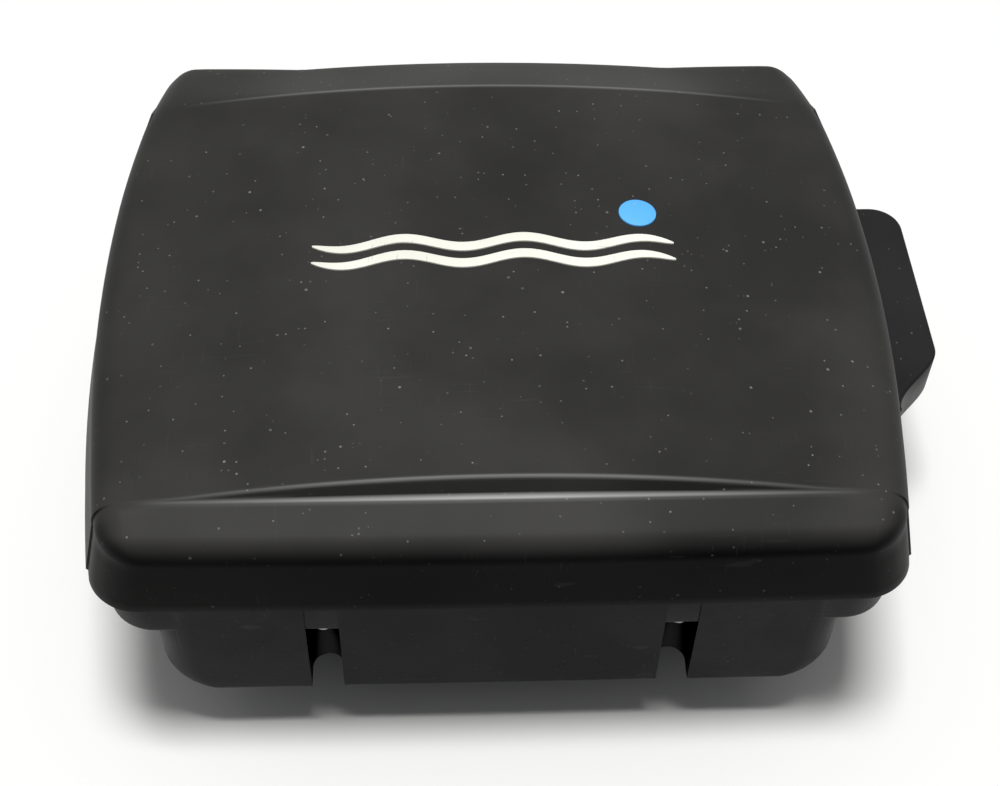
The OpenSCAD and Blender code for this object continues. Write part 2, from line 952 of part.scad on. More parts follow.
module connector_nuts() {
    color("#b9bcc0")
        at_plugs()
            difference() {
                rod(plug_flange_r, recess_top + case_wall, recess_top + case_wall + 2, 6);
                rod(barrel_r - 0.1, recess_top, recess_top + 6);
            }
}

module connector_board() {
    color("#1f5a3a") translate([0, recess_y, 0]) slab(66, 20, 2, conn_board_z, conn_board_t);
}

module board_header() {
    color("#17181a")
        translate([0, recess_y, 0]) slab(20, 5, 0.4, conn_board_z + conn_board_t,
            board_z - conn_board_z - conn_board_t);
}

sun_cover();
emblem_waves();
emblem_disc();
rear_housing();
front_bezel();
bezel_gasket();
display_lens();
lens_tape();
lcd_panel();
lcd_backlight();
lcd_frame();
display_ribbon();
inner_chassis();
chassis_screws();
main_board();
board_screws();
board_shield();
board_chips();
gps_antenna();
backup_cell();
beeper();
sounder_transformer();
keypad_board();
key_domes();
keypad_mat();
rocker_seat();
rocker_post();
rocker_pad();
key_zoom_out();
key_zoom_in();
key_home();
key_menu();
key_select();
key_mark();
key_power();
card_socket();
memory_card();
card_door();
door_gasket();
door_hinge_pin();
power_connector();
transducer_connector();
network_connector();
connector_inserts();
connector_pins();
connector_seals();
connector_nuts();
connector_board();
board_header();
case_screws();
bail_inserts();
bail_pads();
flush_inserts();
vent_membrane();
rear_label();
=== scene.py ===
"""Looks of a small marine chartplotter display with its sun cover on.

Lengths inside the classes are millimetres in the frame's own axes: +X to the unit's
right, +Y to its top, +Z out through the screen. Meshes are scaled to metres when they
become objects.
"""

import json
import logging
import math
from collections.abc import Callable, Iterable, Sequence
from dataclasses import dataclass, field
from enum import Enum

import bmesh
import bpy
from mathutils import Matrix, Vector


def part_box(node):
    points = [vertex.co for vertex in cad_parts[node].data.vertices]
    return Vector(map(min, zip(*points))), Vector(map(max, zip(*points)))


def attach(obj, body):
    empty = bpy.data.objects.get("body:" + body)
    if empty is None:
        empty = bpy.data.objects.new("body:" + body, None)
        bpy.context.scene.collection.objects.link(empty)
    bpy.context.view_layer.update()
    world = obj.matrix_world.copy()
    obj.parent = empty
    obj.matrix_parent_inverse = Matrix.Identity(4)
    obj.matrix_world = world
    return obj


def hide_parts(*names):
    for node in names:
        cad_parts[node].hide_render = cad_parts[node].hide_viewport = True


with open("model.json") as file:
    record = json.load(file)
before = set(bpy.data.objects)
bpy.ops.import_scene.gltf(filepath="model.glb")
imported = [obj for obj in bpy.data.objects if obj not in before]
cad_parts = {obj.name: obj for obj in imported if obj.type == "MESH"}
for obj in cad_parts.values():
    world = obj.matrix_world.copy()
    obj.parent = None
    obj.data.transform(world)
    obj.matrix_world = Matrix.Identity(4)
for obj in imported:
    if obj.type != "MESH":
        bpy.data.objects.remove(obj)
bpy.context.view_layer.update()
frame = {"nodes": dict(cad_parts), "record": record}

LOG = logging.getLogger("chartplotter")
MM = 0.001
# Vertex attribute along which the cover's colour is lightened into a painted highlight.
PAINTED_HIGHLIGHT = "painted_highlight"
LUG_STARTS = (-12.0, 23.5)
LUG_WIDTH = 2.6
LUG_GAP = 0.3
LUG_R = 1.9
Point = tuple[float, float]
Colour = tuple[float, float, float]


# ---------- small geometry helpers ----------


def node_box(name: str) -> tuple[Vector, Vector]:
    """Gives a CAD node's corners in millimetres.

    Args:
        name: The node's name.

    Returns:
        Its lowest and its highest corner.
    """
    low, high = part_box(name)
    return low / MM, high / MM


def middle(name: str) -> Vector:
    """Returns the middle of a CAD node's box in millimetres."""
    low, high = node_box(name)
    return (low + high) / 2


def arc(centre: Point, radius: float, start: float, end: float, steps: int) -> list[Point]:
    """Walks along an arc.

    Args:
        centre: The arc's centre.
        radius: Its radius.
        start: First angle, in degrees.
        end: Last angle, in degrees.
        steps: Number of chords.

    Returns:
        The points, both ends included.
    """
    angles = [math.radians(start + (end - start) * i / steps) for i in range(steps + 1)]
    return [(centre[0] + radius * math.cos(a), centre[1] + radius * math.sin(a)) for a in angles]


def round_rect(width: float, height: float, radius: float, at: Point = (0, 0), steps: int = 8) -> list[Point]:
    """Outlines a rectangle with round corners.

    Args:
        width: Size along the first axis.
        height: Size along the second axis.
        radius: Corner radius.
        at: The rectangle's centre.
        steps: Chords in each corner.

    Returns:
        The outline, anticlockwise.
    """
    x, y = width / 2 - radius, height / 2 - radius
    corners = ((x, y, 0), (-x, y, 90), (-x, -y, 180), (x, -y, 270))
    points: list[Point] = []
    for cx, cy, turn in corners:
        points += arc((at[0] + cx, at[1] + cy), radius, turn, turn + 90, steps)
    return points


def ramp(low: float, high: float, value: float) -> float:
    """Returns how far value is from low to high, held between 0 and 1."""
    return min(1.0, max(0.0, (value - low) / (high - low)))


def soft_min(a: float, b: float, width: float) -> float:
    """Returns the smaller of two values, rounded over width where they cross."""
    gap = max(width - abs(a - b), 0.0) / width
    return min(a, b) - gap * gap * width / 4


# ---------- mesh helpers ----------


def prism(points: Sequence[Point], low: float, high: float) -> bmesh.types.BMesh:
    """Extrudes an outline upwards into a closed solid.

    Args:
        points: The outline, in the XY plane.
        low: Height of the bottom.
        high: Height of the top.

    Returns:
        The solid.
    """
    bm = bmesh.new()
    verts = [bm.verts.new((x, y, low)) for x, y in points]
    for pair in zip(verts, verts[1:] + verts[:1]):
        bm.edges.new(pair)
    bmesh.ops.remove_doubles(bm, verts=bm.verts, dist=1e-4)
    base = bmesh.ops.contextual_create(bm, geom=list(bm.edges))["faces"]
    grown = bmesh.ops.extrude_face_region(bm, geom=base, use_keep_orig=True)["geom"]
    top = [v for v in grown if isinstance(v, bmesh.types.BMVert)]
    bmesh.ops.translate(bm, verts=top, vec=(0, 0, high - low))
    bmesh.ops.recalc_face_normals(bm, faces=bm.faces)
    return bm


def level_edges(bm: bmesh.types.BMesh, height: float, keep: Callable[[Vector], bool] | None = None) -> list:
    """Finds the edges that lie at one height.

    Args:
        bm: The mesh.
        height: Their Z.
        keep: Says of an edge's middle whether the edge counts.

    Returns:
        The edges.
    """
    found = []
    for edge in bm.edges:
        if any(abs(v.co.z - height) > 1e-3 for v in edge.verts):
            continue
        centre = (edge.verts[0].co + edge.verts[1].co) / 2
        if keep is None or keep(centre):
            found.append(edge)
    return found


def round_edges(bm: bmesh.types.BMesh, edges: Iterable, width: float, steps: int = 3) -> None:
    """Rounds edges.

    Args:
        bm: The mesh.
        edges: The edges.
        width: How far the rounding reaches on each side.
        steps: Segments across it.
    """
    bmesh.ops.bevel(bm, geom=list(edges), offset=width, offset_type="OFFSET", segments=steps,
                    profile=0.5, affect="EDGES", material=-1, clamp_overlap=True)


def soft_prism(points: Sequence[Point], low: float, high: float, top: float = 0.0, bottom: float = 0.0,
               steps: int = 3) -> bmesh.types.BMesh:
    """Extrudes an outline and rounds its top and bottom edges.

    Args:
        points: The outline.
        low: Height of the bottom.
        high: Height of the top.
        top: Rounding of the top edge, or 0.
        bottom: Rounding of the bottom edge, or 0.
        steps: Segments across each rounding.

    Returns:
        The solid.
    """
    bm = prism(points, low, high)
    if top:
        round_edges(bm, level_edges(bm, high), top, steps)
    if bottom:
        round_edges(bm, level_edges(bm, low), bottom, steps)
    return bm


def lathe(profile: Sequence[Point], steps: int = 64) -> bmesh.types.BMesh:
    """Spins a profile round the Z axis.

    Args:
        profile: Radius and height of each point, from the axis or closed on itself.
        steps: Number of sides.

    Returns:
        The solid, closed where the profile is closed or both its ends are on the axis.
    """
    bm = bmesh.new()
    verts = [bm.verts.new((max(r, 0.0), 0, z)) for r, z in profile]
    edges = [bm.edges.new(pair) for pair in zip(verts, verts[1:])]
    if profile[0][0] > 1e-6:
        edges.append(bm.edges.new((verts[-1], verts[0])))
    bmesh.ops.spin(bm, geom=verts + edges, cent=(0, 0, 0), axis=(0, 0, 1), dvec=(0, 0, 0),
                   angle=math.tau, steps=steps, use_merge=True)
    bmesh.ops.remove_doubles(bm, verts=bm.verts, dist=1e-4)
    bmesh.ops.recalc_face_normals(bm, faces=bm.faces)
    return bm


def drum(radius: float, low: float, high: float, edge: float = 0.0, steps: int = 48) -> bmesh.types.BMesh:
    """Makes a cylinder along Z.

    Args:
        radius: Its radius.
        low: Height of the bottom.
        high: Height of the top.
        edge: Rounding of both rims, or 0.
        steps: Number of sides.

    Returns:
        The solid.
    """
    bm = bmesh.new()
    place = Matrix.Translation((0, 0, (low + high) / 2))
    bmesh.ops.create_cone(bm, cap_ends=True, segments=steps, radius1=radius, radius2=radius,
                          depth=high - low, matrix=place)
    if edge:
        round_edges(bm, level_edges(bm, low) + level_edges(bm, high), edge, 3)
    return bm


def block(low: Sequence[float], high: Sequence[float], edge: float = 0.0) -> bmesh.types.BMesh:
    """Makes a box between two corners.

    Args:
        low: Its lowest corner.
        high: Its highest corner.
        edge: Rounding of all its edges, or 0.

    Returns:
        The solid.
    """
    bm = bmesh.new()
    size = Vector(high) - Vector(low)
    place = Matrix.Translation((Vector(high) + Vector(low)) / 2) @ Matrix.Diagonal((*size, 1))
    bmesh.ops.create_cube(bm, size=1, matrix=place)
    if edge:
        round_edges(bm, bm.edges, edge, 3)
    return bm


def moved(bm: bmesh.types.BMesh, matrix: Matrix) -> bmesh.types.BMesh:
    """Returns the same mesh after a transform."""
    bmesh.ops.transform(bm, matrix=matrix, verts=bm.verts)
    return bm


def shifted(bm: bmesh.types.BMesh, x: float, y: float, z: float = 0.0) -> bmesh.types.BMesh:
    """Returns the same mesh after a move."""
    return moved(bm, Matrix.Translation((x, y, z)))


def merged(parts: Iterable[bmesh.types.BMesh]) -> bmesh.types.BMesh:
    """Puts several meshes into one, as separate shells.

    Args:
        parts: The meshes. They are freed.

    Returns:
        One mesh with all of them.
    """
    whole = bmesh.new()
    for part in parts:
        copy = bpy.data.meshes.new("part")
        part.to_mesh(copy)
        part.free()
        whole.from_mesh(copy)
        bpy.data.meshes.remove(copy)
    return whole


def as_object(bm: bmesh.types.BMesh, name: str, crease: float = 32.0) -> bpy.types.Object:
    """Turns a mesh in millimetres into an object in metres.

    Args:
        bm: The mesh. It is freed.
        name: The object's name.
        crease: Edges sharper than this angle, in degrees, stay sharp.

    Returns:
        The object, at the origin.
    """
    moved(bm, Matrix.Scale(MM, 4))
    mesh = bpy.data.meshes.new(name)
    bm.to_mesh(mesh)
    bm.free()
    mesh.shade_smooth()
    mesh.set_sharp_from_angle(angle=math.radians(crease))
    thing = bpy.data.objects.new(name, mesh)
    bpy.context.scene.collection.objects.link(thing)
    return thing


class Cut(Enum):
    """What a second solid does to the first."""

    ADD = "UNION"
    TAKE = "DIFFERENCE"


def carve(bm: bmesh.types.BMesh, steps: Iterable[tuple[Cut, bmesh.types.BMesh]]) -> bmesh.types.BMesh:
    """Adds solids to a solid, or takes them away.

    Args:
        bm: The solid to start from. It is freed.
        steps: What to do, in order, each with its solid, which is freed too.

    Returns:
        The finished solid.
    """
    target = as_object(bm, "carve_target")
    for action, tool_mesh in steps:
        tool = as_object(tool_mesh, "carve_tool")
        change = target.modifiers.new("carve", "BOOLEAN")
        change.operation = action.value
        change.solver = "EXACT"
        change.object = tool
        graph = bpy.context.evaluated_depsgraph_get()
        result = bpy.data.meshes.new_from_object(target.evaluated_get(graph))
        target.modifiers.clear()
        target.data = result
        bpy.data.objects.remove(tool)
    finished = bmesh.new()
    finished.from_mesh(target.data)
    bpy.data.objects.remove(target)
    moved(finished, Matrix.Scale(1 / MM, 4))
    bmesh.ops.remove_doubles(finished, verts=finished.verts, dist=2e-4)
    bmesh.ops.dissolve_degenerate(finished, edges=finished.edges, dist=2e-4)
    return finished


# ---------- shader groups ----------


class Group:
    """Builds a shader node group with named inputs and outputs."""

    def __init__(self, name: str, inputs: dict[str, float], outputs: Sequence[str]) -> None:
        """Starts the group.

        Args:
            name: The group's name.
            inputs: Number inputs with their defaults.
            outputs: Number outputs.
        """
        self.tree = bpy.data.node_groups.new(name, "ShaderNodeTree")
        for key, value in inputs.items():
            socket = self.tree.interface.new_socket(key, in_out="INPUT", socket_type="NodeSocketFloat")
            socket.default_value = value
        for key in outputs:
            self.tree.interface.new_socket(key, in_out="OUTPUT", socket_type="NodeSocketFloat")
        self.start = self.tree.nodes.new("NodeGroupInput")
        self.end = self.tree.nodes.new("NodeGroupOutput")
        self.place = self.tree.nodes.new("ShaderNodeTexCoord").outputs["Object"]

    def add(self, kind: str, **settings: object) -> bpy.types.Node:
        """Adds a node.

        Args:
            kind: The node's type.
            settings: Its properties.

        Returns:
            The node.
        """
        node = self.tree.nodes.new(kind)
        for key, value in settings.items():
            setattr(node, key, value)
        return node

    def link(self, source: bpy.types.NodeSocket, target: bpy.types.NodeSocket) -> None:
        """Joins two sockets."""
        self.tree.links.new(source, target)

    def math(self, operation: str, first: object, second: object = 0.0) -> bpy.types.NodeSocket:
        """Adds a sum.

        Args:
            operation: What it does.
            first: A number or a socket.
            second: A number or a socket.

        Returns:
            The result's socket.
        """
        node = self.add("ShaderNodeMath", operation=operation)
        for slot, value in zip(node.inputs, (first, second)):
            if isinstance(value, bpy.types.NodeSocket):
                self.link(value, slot)
            else:
                slot.default_value = value
        return node.outputs[0]

    def noise(self, scale: object, detail: float = 2.0, stretch: Vector | None = None) -> bpy.types.NodeSocket:
        """Adds a noise on the object's own coordinates.

        Args:
            scale: Its scale, a number or a socket.
            detail: Its detail.
            stretch: Scale of each axis before the noise.

        Returns:
            The noise's value.
        """
        node = self.add("ShaderNodeTexNoise")
        node.inputs["Detail"].default_value = detail
        source = self.place
        if stretch is not None:
            mapping = self.add("ShaderNodeMapping")
            mapping.inputs["Scale"].default_value = stretch
            self.link(self.place, mapping.inputs["Vector"])
            source = mapping.outputs["Vector"]
        self.link(source, node.inputs["Vector"])
        if isinstance(scale, bpy.types.NodeSocket):
            self.link(scale, node.inputs["Scale"])
        else:
            node.inputs["Scale"].default_value = scale
        return node.outputs["Fac"]

    def band(self, value: bpy.types.NodeSocket, low: float, high: float) -> bpy.types.NodeSocket:
        """Maps low..high of a value to 0..1 and holds the rest."""
        node = self.add("ShaderNodeMapRange", interpolation_type="SMOOTHSTEP")
        node.inputs["From Min"].default_value = low
        node.inputs["From Max"].default_value = high
        self.link(value, node.inputs["Value"])
        return node.outputs["Result"]

    def give(self, name: str, value: bpy.types.NodeSocket) -> None:
        """Sends a value out of the group."""
        self.link(value, self.end.inputs[name])


def grain_group() -> bpy.types.NodeTree:
    """Builds the moulded grain: a fine pebble height and a slow tone drift.

    Returns:
        The group, with outputs Height and Tone.
    """
    group = Group("grain", {"Scale": 2500.0, "Drift": 40.0}, ("Height", "Tone"))
    fine = group.noise(group.start.outputs["Scale"], 3.0)
    pebble = group.add("ShaderNodeTexVoronoi", feature="SMOOTH_F1")
    group.link(group.place, pebble.inputs["Vector"])
    group.link(group.start.outputs["Scale"], pebble.inputs["Scale"])
    height = group.math("ADD", group.math("MULTIPLY", fine, 0.6), group.math("MULTIPLY", pebble.outputs["Distance"], 0.5))
    group.give("Height", height)
    group.give("Tone", group.band(group.noise(group.start.outputs["Drift"], 4.0), 0.25, 0.75))
    return group.tree


def dust_and_sheen_group() -> bpy.types.NodeTree:
    """Builds the dust and a painted sheen: sparse specks in three sizes, and a faint light haze on faces that point
    up, partly settled dust and partly a painted sheen.

    Returns:
        The group, with outputs for the specks and for the haze that is partly dust and partly a painted sheen.
    """
    group = Group("dust", {"Specks": 1.0, "Veil": 0.3}, ("Specks", "Veil"))
    total: bpy.types.NodeSocket | None = None
    for scale, size, share in ((420.0, 0.11, 0.86), (900.0, 0.16, 0.88), (190.0, 0.035, 0.72)):
        cell = group.add("ShaderNodeTexVoronoi", feature="F1")
        cell.inputs["Scale"].default_value = scale
        group.link(group.place, cell.inputs["Vector"])
        chance = group.add("ShaderNodeSeparateColor")
        group.link(cell.outputs["Color"], chance.inputs["Color"])
        near = group.math("LESS_THAN", cell.outputs["Distance"], size)
        lucky = group.math("GREATER_THAN", chance.outputs[0], share)
        speck = group.math("MULTIPLY", group.math("MULTIPLY", near, lucky), chance.outputs[1])
        total = speck if total is None else group.math("MAXIMUM", total, speck)
    facing = group.add("ShaderNodeSeparateXYZ")
    group.link(group.add("ShaderNodeNewGeometry").outputs["Normal"], facing.inputs[0])
    upward = group.band(facing.outputs["Z"], 0.3, 0.95)
    settled = group.math("ADD", group.math("MULTIPLY", upward, 0.75), 0.25)
    specks = group.math("MULTIPLY", total, group.start.outputs["Specks"])
    group.give("Specks", group.math("MULTIPLY", specks, settled))
    # The haze lightens faces that point up: partly settled dust, partly a painted sheen standing in for the overhead
    # light's reflection on the cover's top.
    patchy = group.math("ADD", group.math("MULTIPLY", group.band(group.noise(28.0, 6.0), 0.3, 0.75), 0.4), 0.6)
    dust_and_sheen = group.math("MULTIPLY", patchy, group.start.outputs["Veil"])
    group.give("Veil", group.math("MULTIPLY", dust_and_sheen, upward))
    return group.tree


def scuff_group() -> bpy.types.NodeTree:
    """Builds fine scratches in two directions.

    Returns:
        The group, with output Scratches.
    """
    group = Group("scuffs", {"Amount": 0.5}, ("Scratches",))
    total: bpy.types.NodeSocket | None = None
    for stretch in (Vector((130.0, 2600.0, 300.0)), Vector((2200.0, 150.0, 300.0))):
        line = group.noise(1.0, 1.0, stretch)
        thin = group.band(line, 0.70, 0.74)
        patch = group.band(group.noise(34.0, 2.0), 0.52, 0.62)
        streak = group.math("MULTIPLY", thin, patch)
        total = streak if total is None else group.math("MAXIMUM", total, streak)
    group.give("Scratches", group.math("MULTIPLY", total, group.start.outputs["Amount"]))
    return group.tree


def wear_group() -> bpy.types.NodeTree:
    """Builds the wear mask: worn edges, broken up by noise.

    Returns:
        The group, with output Wear.
    """
    group = Group("edge_wear", {"Amount": 0.5}, ("Wear",))
    point = group.add("ShaderNodeNewGeometry").outputs["Pointiness"]
    edge = group.band(point, 0.53, 0.62)
    broken = group.band(group.noise(260.0, 4.0), 0.35, 0.7)
    group.give("Wear", group.math("MULTIPLY", group.math("MULTIPLY", edge, broken), group.start.outputs["Amount"]))
    return group.tree


def brushed_group() -> bpy.types.NodeTree:
    """Builds brushed metal: fine lines along X.

    Returns:
        The group, with outputs Height and Tone.
    """
    group = Group("brushed", {"Scale": 1.0}, ("Height", "Tone"))
    lines = group.noise(group.start.outputs["Scale"], 4.0, Vector((60.0, 3200.0, 3200.0)))
    group.give("Height", lines)
    group.give("Tone", group.band(group.noise(90.0, 3.0), 0.3, 0.7))
    return group.tree


def board_group() -> bpy.types.NodeTree:
    """Builds a circuit board's copper: tracks under the lacquer and bare pads.

    Returns:
        The group, with outputs Tracks and Pads.
    """
    group = Group("board", {"Scale": 260.0}, ("Tracks", "Pads"))
    cell = group.add("ShaderNodeTexVoronoi", feature="DISTANCE_TO_EDGE", distance="EUCLIDEAN")
    group.link(group.place, cell.inputs["Vector"])
    group.link(group.start.outputs["Scale"], cell.inputs["Scale"])
    group.give("Tracks", group.band(cell.outputs["Distance"], 0.09, 0.05))
    dots = group.add("ShaderNodeTexVoronoi", feature="F1", distance="CHEBYCHEV")
    dots.inputs["Scale"].default_value = 420.0
    dots.inputs["Randomness"].default_value = 0.35
    group.link(group.place, dots.inputs["Vector"])
    small = group.math("LESS_THAN", dots.outputs["Distance"], 0.2)
    patch = group.band(group.noise(60.0, 1.0), 0.52, 0.56)
    group.give("Pads", group.math("MULTIPLY", small, patch))
    return group.tree


class Pattern(Enum):
    """How a finish varies over its surface."""

    MOULDED = "grain"
    BRUSHED = "brushed"
    BOARD = "board"


class Groups:
    """Holds the shared shader groups, each built once."""

    def __init__(self) -> None:
        """Builds them all."""
        self.dust = dust_and_sheen_group()
        self.scuffs = scuff_group()
        self.wear = wear_group()
        self.pattern = {
            Pattern.MOULDED: grain_group(),
            Pattern.BRUSHED: brushed_group(),
            Pattern.BOARD: board_group(),
        }


# ---------- finishes ----------


@dataclass(frozen=True)
class Finish:
    """One surface finish and how it is built up from the shared groups."""

    slot: str
    colour: Colour
    second: Colour
    roughness: float = 0.55
    rough_drift: float = 0.1
    metallic: float = 0.0
    specular: float = 0.5
    pattern: Pattern = Pattern.MOULDED
    scale: float = 2500.0
    depth: float = 0.00004
    bump: float = 0.35
    drift: float = 40.0
    wear: float = 0.0
    worn: Colour = (0.2, 0.2, 0.2)
    dust: float = 0.0
    dust_and_sheen: float = 0.0
    # Strength of the light haze on faces that point up, partly dust and partly a painted sheen.
    scratches: float = 0.0
    # Colour of the specks and of the haze, which is partly a painted sheen.
    dust_and_sheen_colour: Colour = (0.45, 0.44, 0.42)
    coat: float = 0.0
    glass: float = 0.0
    sheen: float = 0.0
    # Lightens the colour into a painted highlight along the mesh's marked lines, and lowers the roughness there.
    painted_highlight: bool = False

    def build(self, groups: Groups) -> bpy.types.Material:
        """Makes the material.

        Args:
            groups: The shared shader groups.

        Returns:
            The material.
        """
        material = bpy.data.materials.new(self.slot)
        material.use_nodes = True
        tree = material.node_tree
        shader = tree.nodes["Principled BSDF"]
        shader.inputs["Metallic"].default_value = self.metallic
        shader.inputs["Specular IOR Level"].default_value = self.specular
        shader.inputs["Coat Weight"].default_value = self.coat
        shader.inputs["Coat Roughness"].default_value = 0.08
        shader.inputs["Transmission Weight"].default_value = self.glass
        shader.inputs["Sheen Weight"].default_value = self.sheen
        shader.inputs["Sheen Roughness"].default_value = 0.4

        base = self._group(tree, groups.pattern[self.pattern])
        tone, height = self._pattern_outputs(base)
        colour = self._mix(tree, tone, self.colour, self.second)
        rough = self._range(tree, tone, self.roughness - self.rough_drift, self.roughness + self.rough_drift)

        if self.wear:
            worn = self._group(tree, groups.wear, Amount=self.wear).outputs["Wear"]
            colour = self._mix(tree, worn, colour, self.worn)
        if self.scratches:
            lines = self._group(tree, groups.scuffs, Amount=self.scratches).outputs["Scratches"]
            colour = self._mix(tree, lines, colour, self.worn)
        if self.dust or self.dust_and_sheen:
            dust = self._group(tree, groups.dust, Specks=self.dust, Veil=self.dust_and_sheen)
            # Haze on faces that point up: partly dust, partly a painted sheen.
            colour = self._mix(tree, dust.outputs["Veil"], colour, self.dust_and_sheen_colour)
            colour = self._mix(tree, dust.outputs["Specks"], colour, self.dust_and_sheen_colour)
        # Painted highlight: along the marked lines the colour is lightened to the worn colour, while the lower
        # roughness stands for a polished edge.
        if self.painted_highlight:
            line = tree.nodes.new("ShaderNodeAttribute")
            line.attribute_name = PAINTED_HIGHLIGHT
            colour = self._mix(tree, line.outputs["Fac"], colour, self.worn)
            rough = self._range(tree, line.outputs["Fac"], self.roughness, 0.25)
        tree.links.new(colour, shader.inputs["Base Color"])
        tree.links.new(rough, shader.inputs["Roughness"])

        bump = tree.nodes.new("ShaderNodeBump")
        bump.inputs["Strength"].default_value = self.bump
        bump.inputs["Distance"].default_value = self.depth
        tree.links.new(height, bump.inputs["Height"])
        tree.links.new(bump.outputs["Normal"], shader.inputs["Normal"])
        return material

    def _group(self, tree: bpy.types.NodeTree, group: bpy.types.NodeTree, **values: float) -> bpy.types.Node:
        """Places a shared group in the material and sets its inputs."""
        node = tree.nodes.new("ShaderNodeGroup")
        node.node_tree = group
        for key, value in values.items():
            node.inputs[key].default_value = value
        return node

    def _pattern_outputs(self, node: bpy.types.Node) -> tuple[bpy.types.NodeSocket, bpy.types.NodeSocket]:
        """Sets the pattern's size and says which outputs are its tone and its height."""
        if self.pattern is Pattern.MOULDED:
            node.inputs["Scale"].default_value = self.scale
            node.inputs["Drift"].default_value = self.drift
        if self.pattern is Pattern.BOARD:
            return node.outputs["Pads"], node.outputs["Tracks"]
        return node.outputs["Tone"], node.outputs["Height"]

    @staticmethod
    def _mix(tree: bpy.types.NodeTree, mask: bpy.types.NodeSocket, low: object, high: object) -> bpy.types.NodeSocket:
        """Mixes two colours by a mask and returns the result."""
        node = tree.nodes.new("ShaderNodeMix")
        node.data_type = "RGBA"
        tree.links.new(mask, node.inputs["Factor"])
        for socket, value in ((node.inputs[6], low), (node.inputs[7], high)):
            if isinstance(value, bpy.types.NodeSocket):
                tree.links.new(value, socket)
            else:
                socket.default_value = (*value, 1.0)
        return node.outputs[2]

    @staticmethod
    def _range(tree: bpy.types.NodeTree, value: bpy.types.NodeSocket, low: float, high: float) -> bpy.types.NodeSocket:
        """Maps 0..1 to low..high and returns the result."""
        node = tree.nodes.new("ShaderNodeMapRange")
        node.inputs["To Min"].default_value = max(low, 0.02)
        node.inputs["To Max"].default_value = min(high, 1.0)
        tree.links.new(value, node.inputs["Value"])
        return node.outputs["Result"]


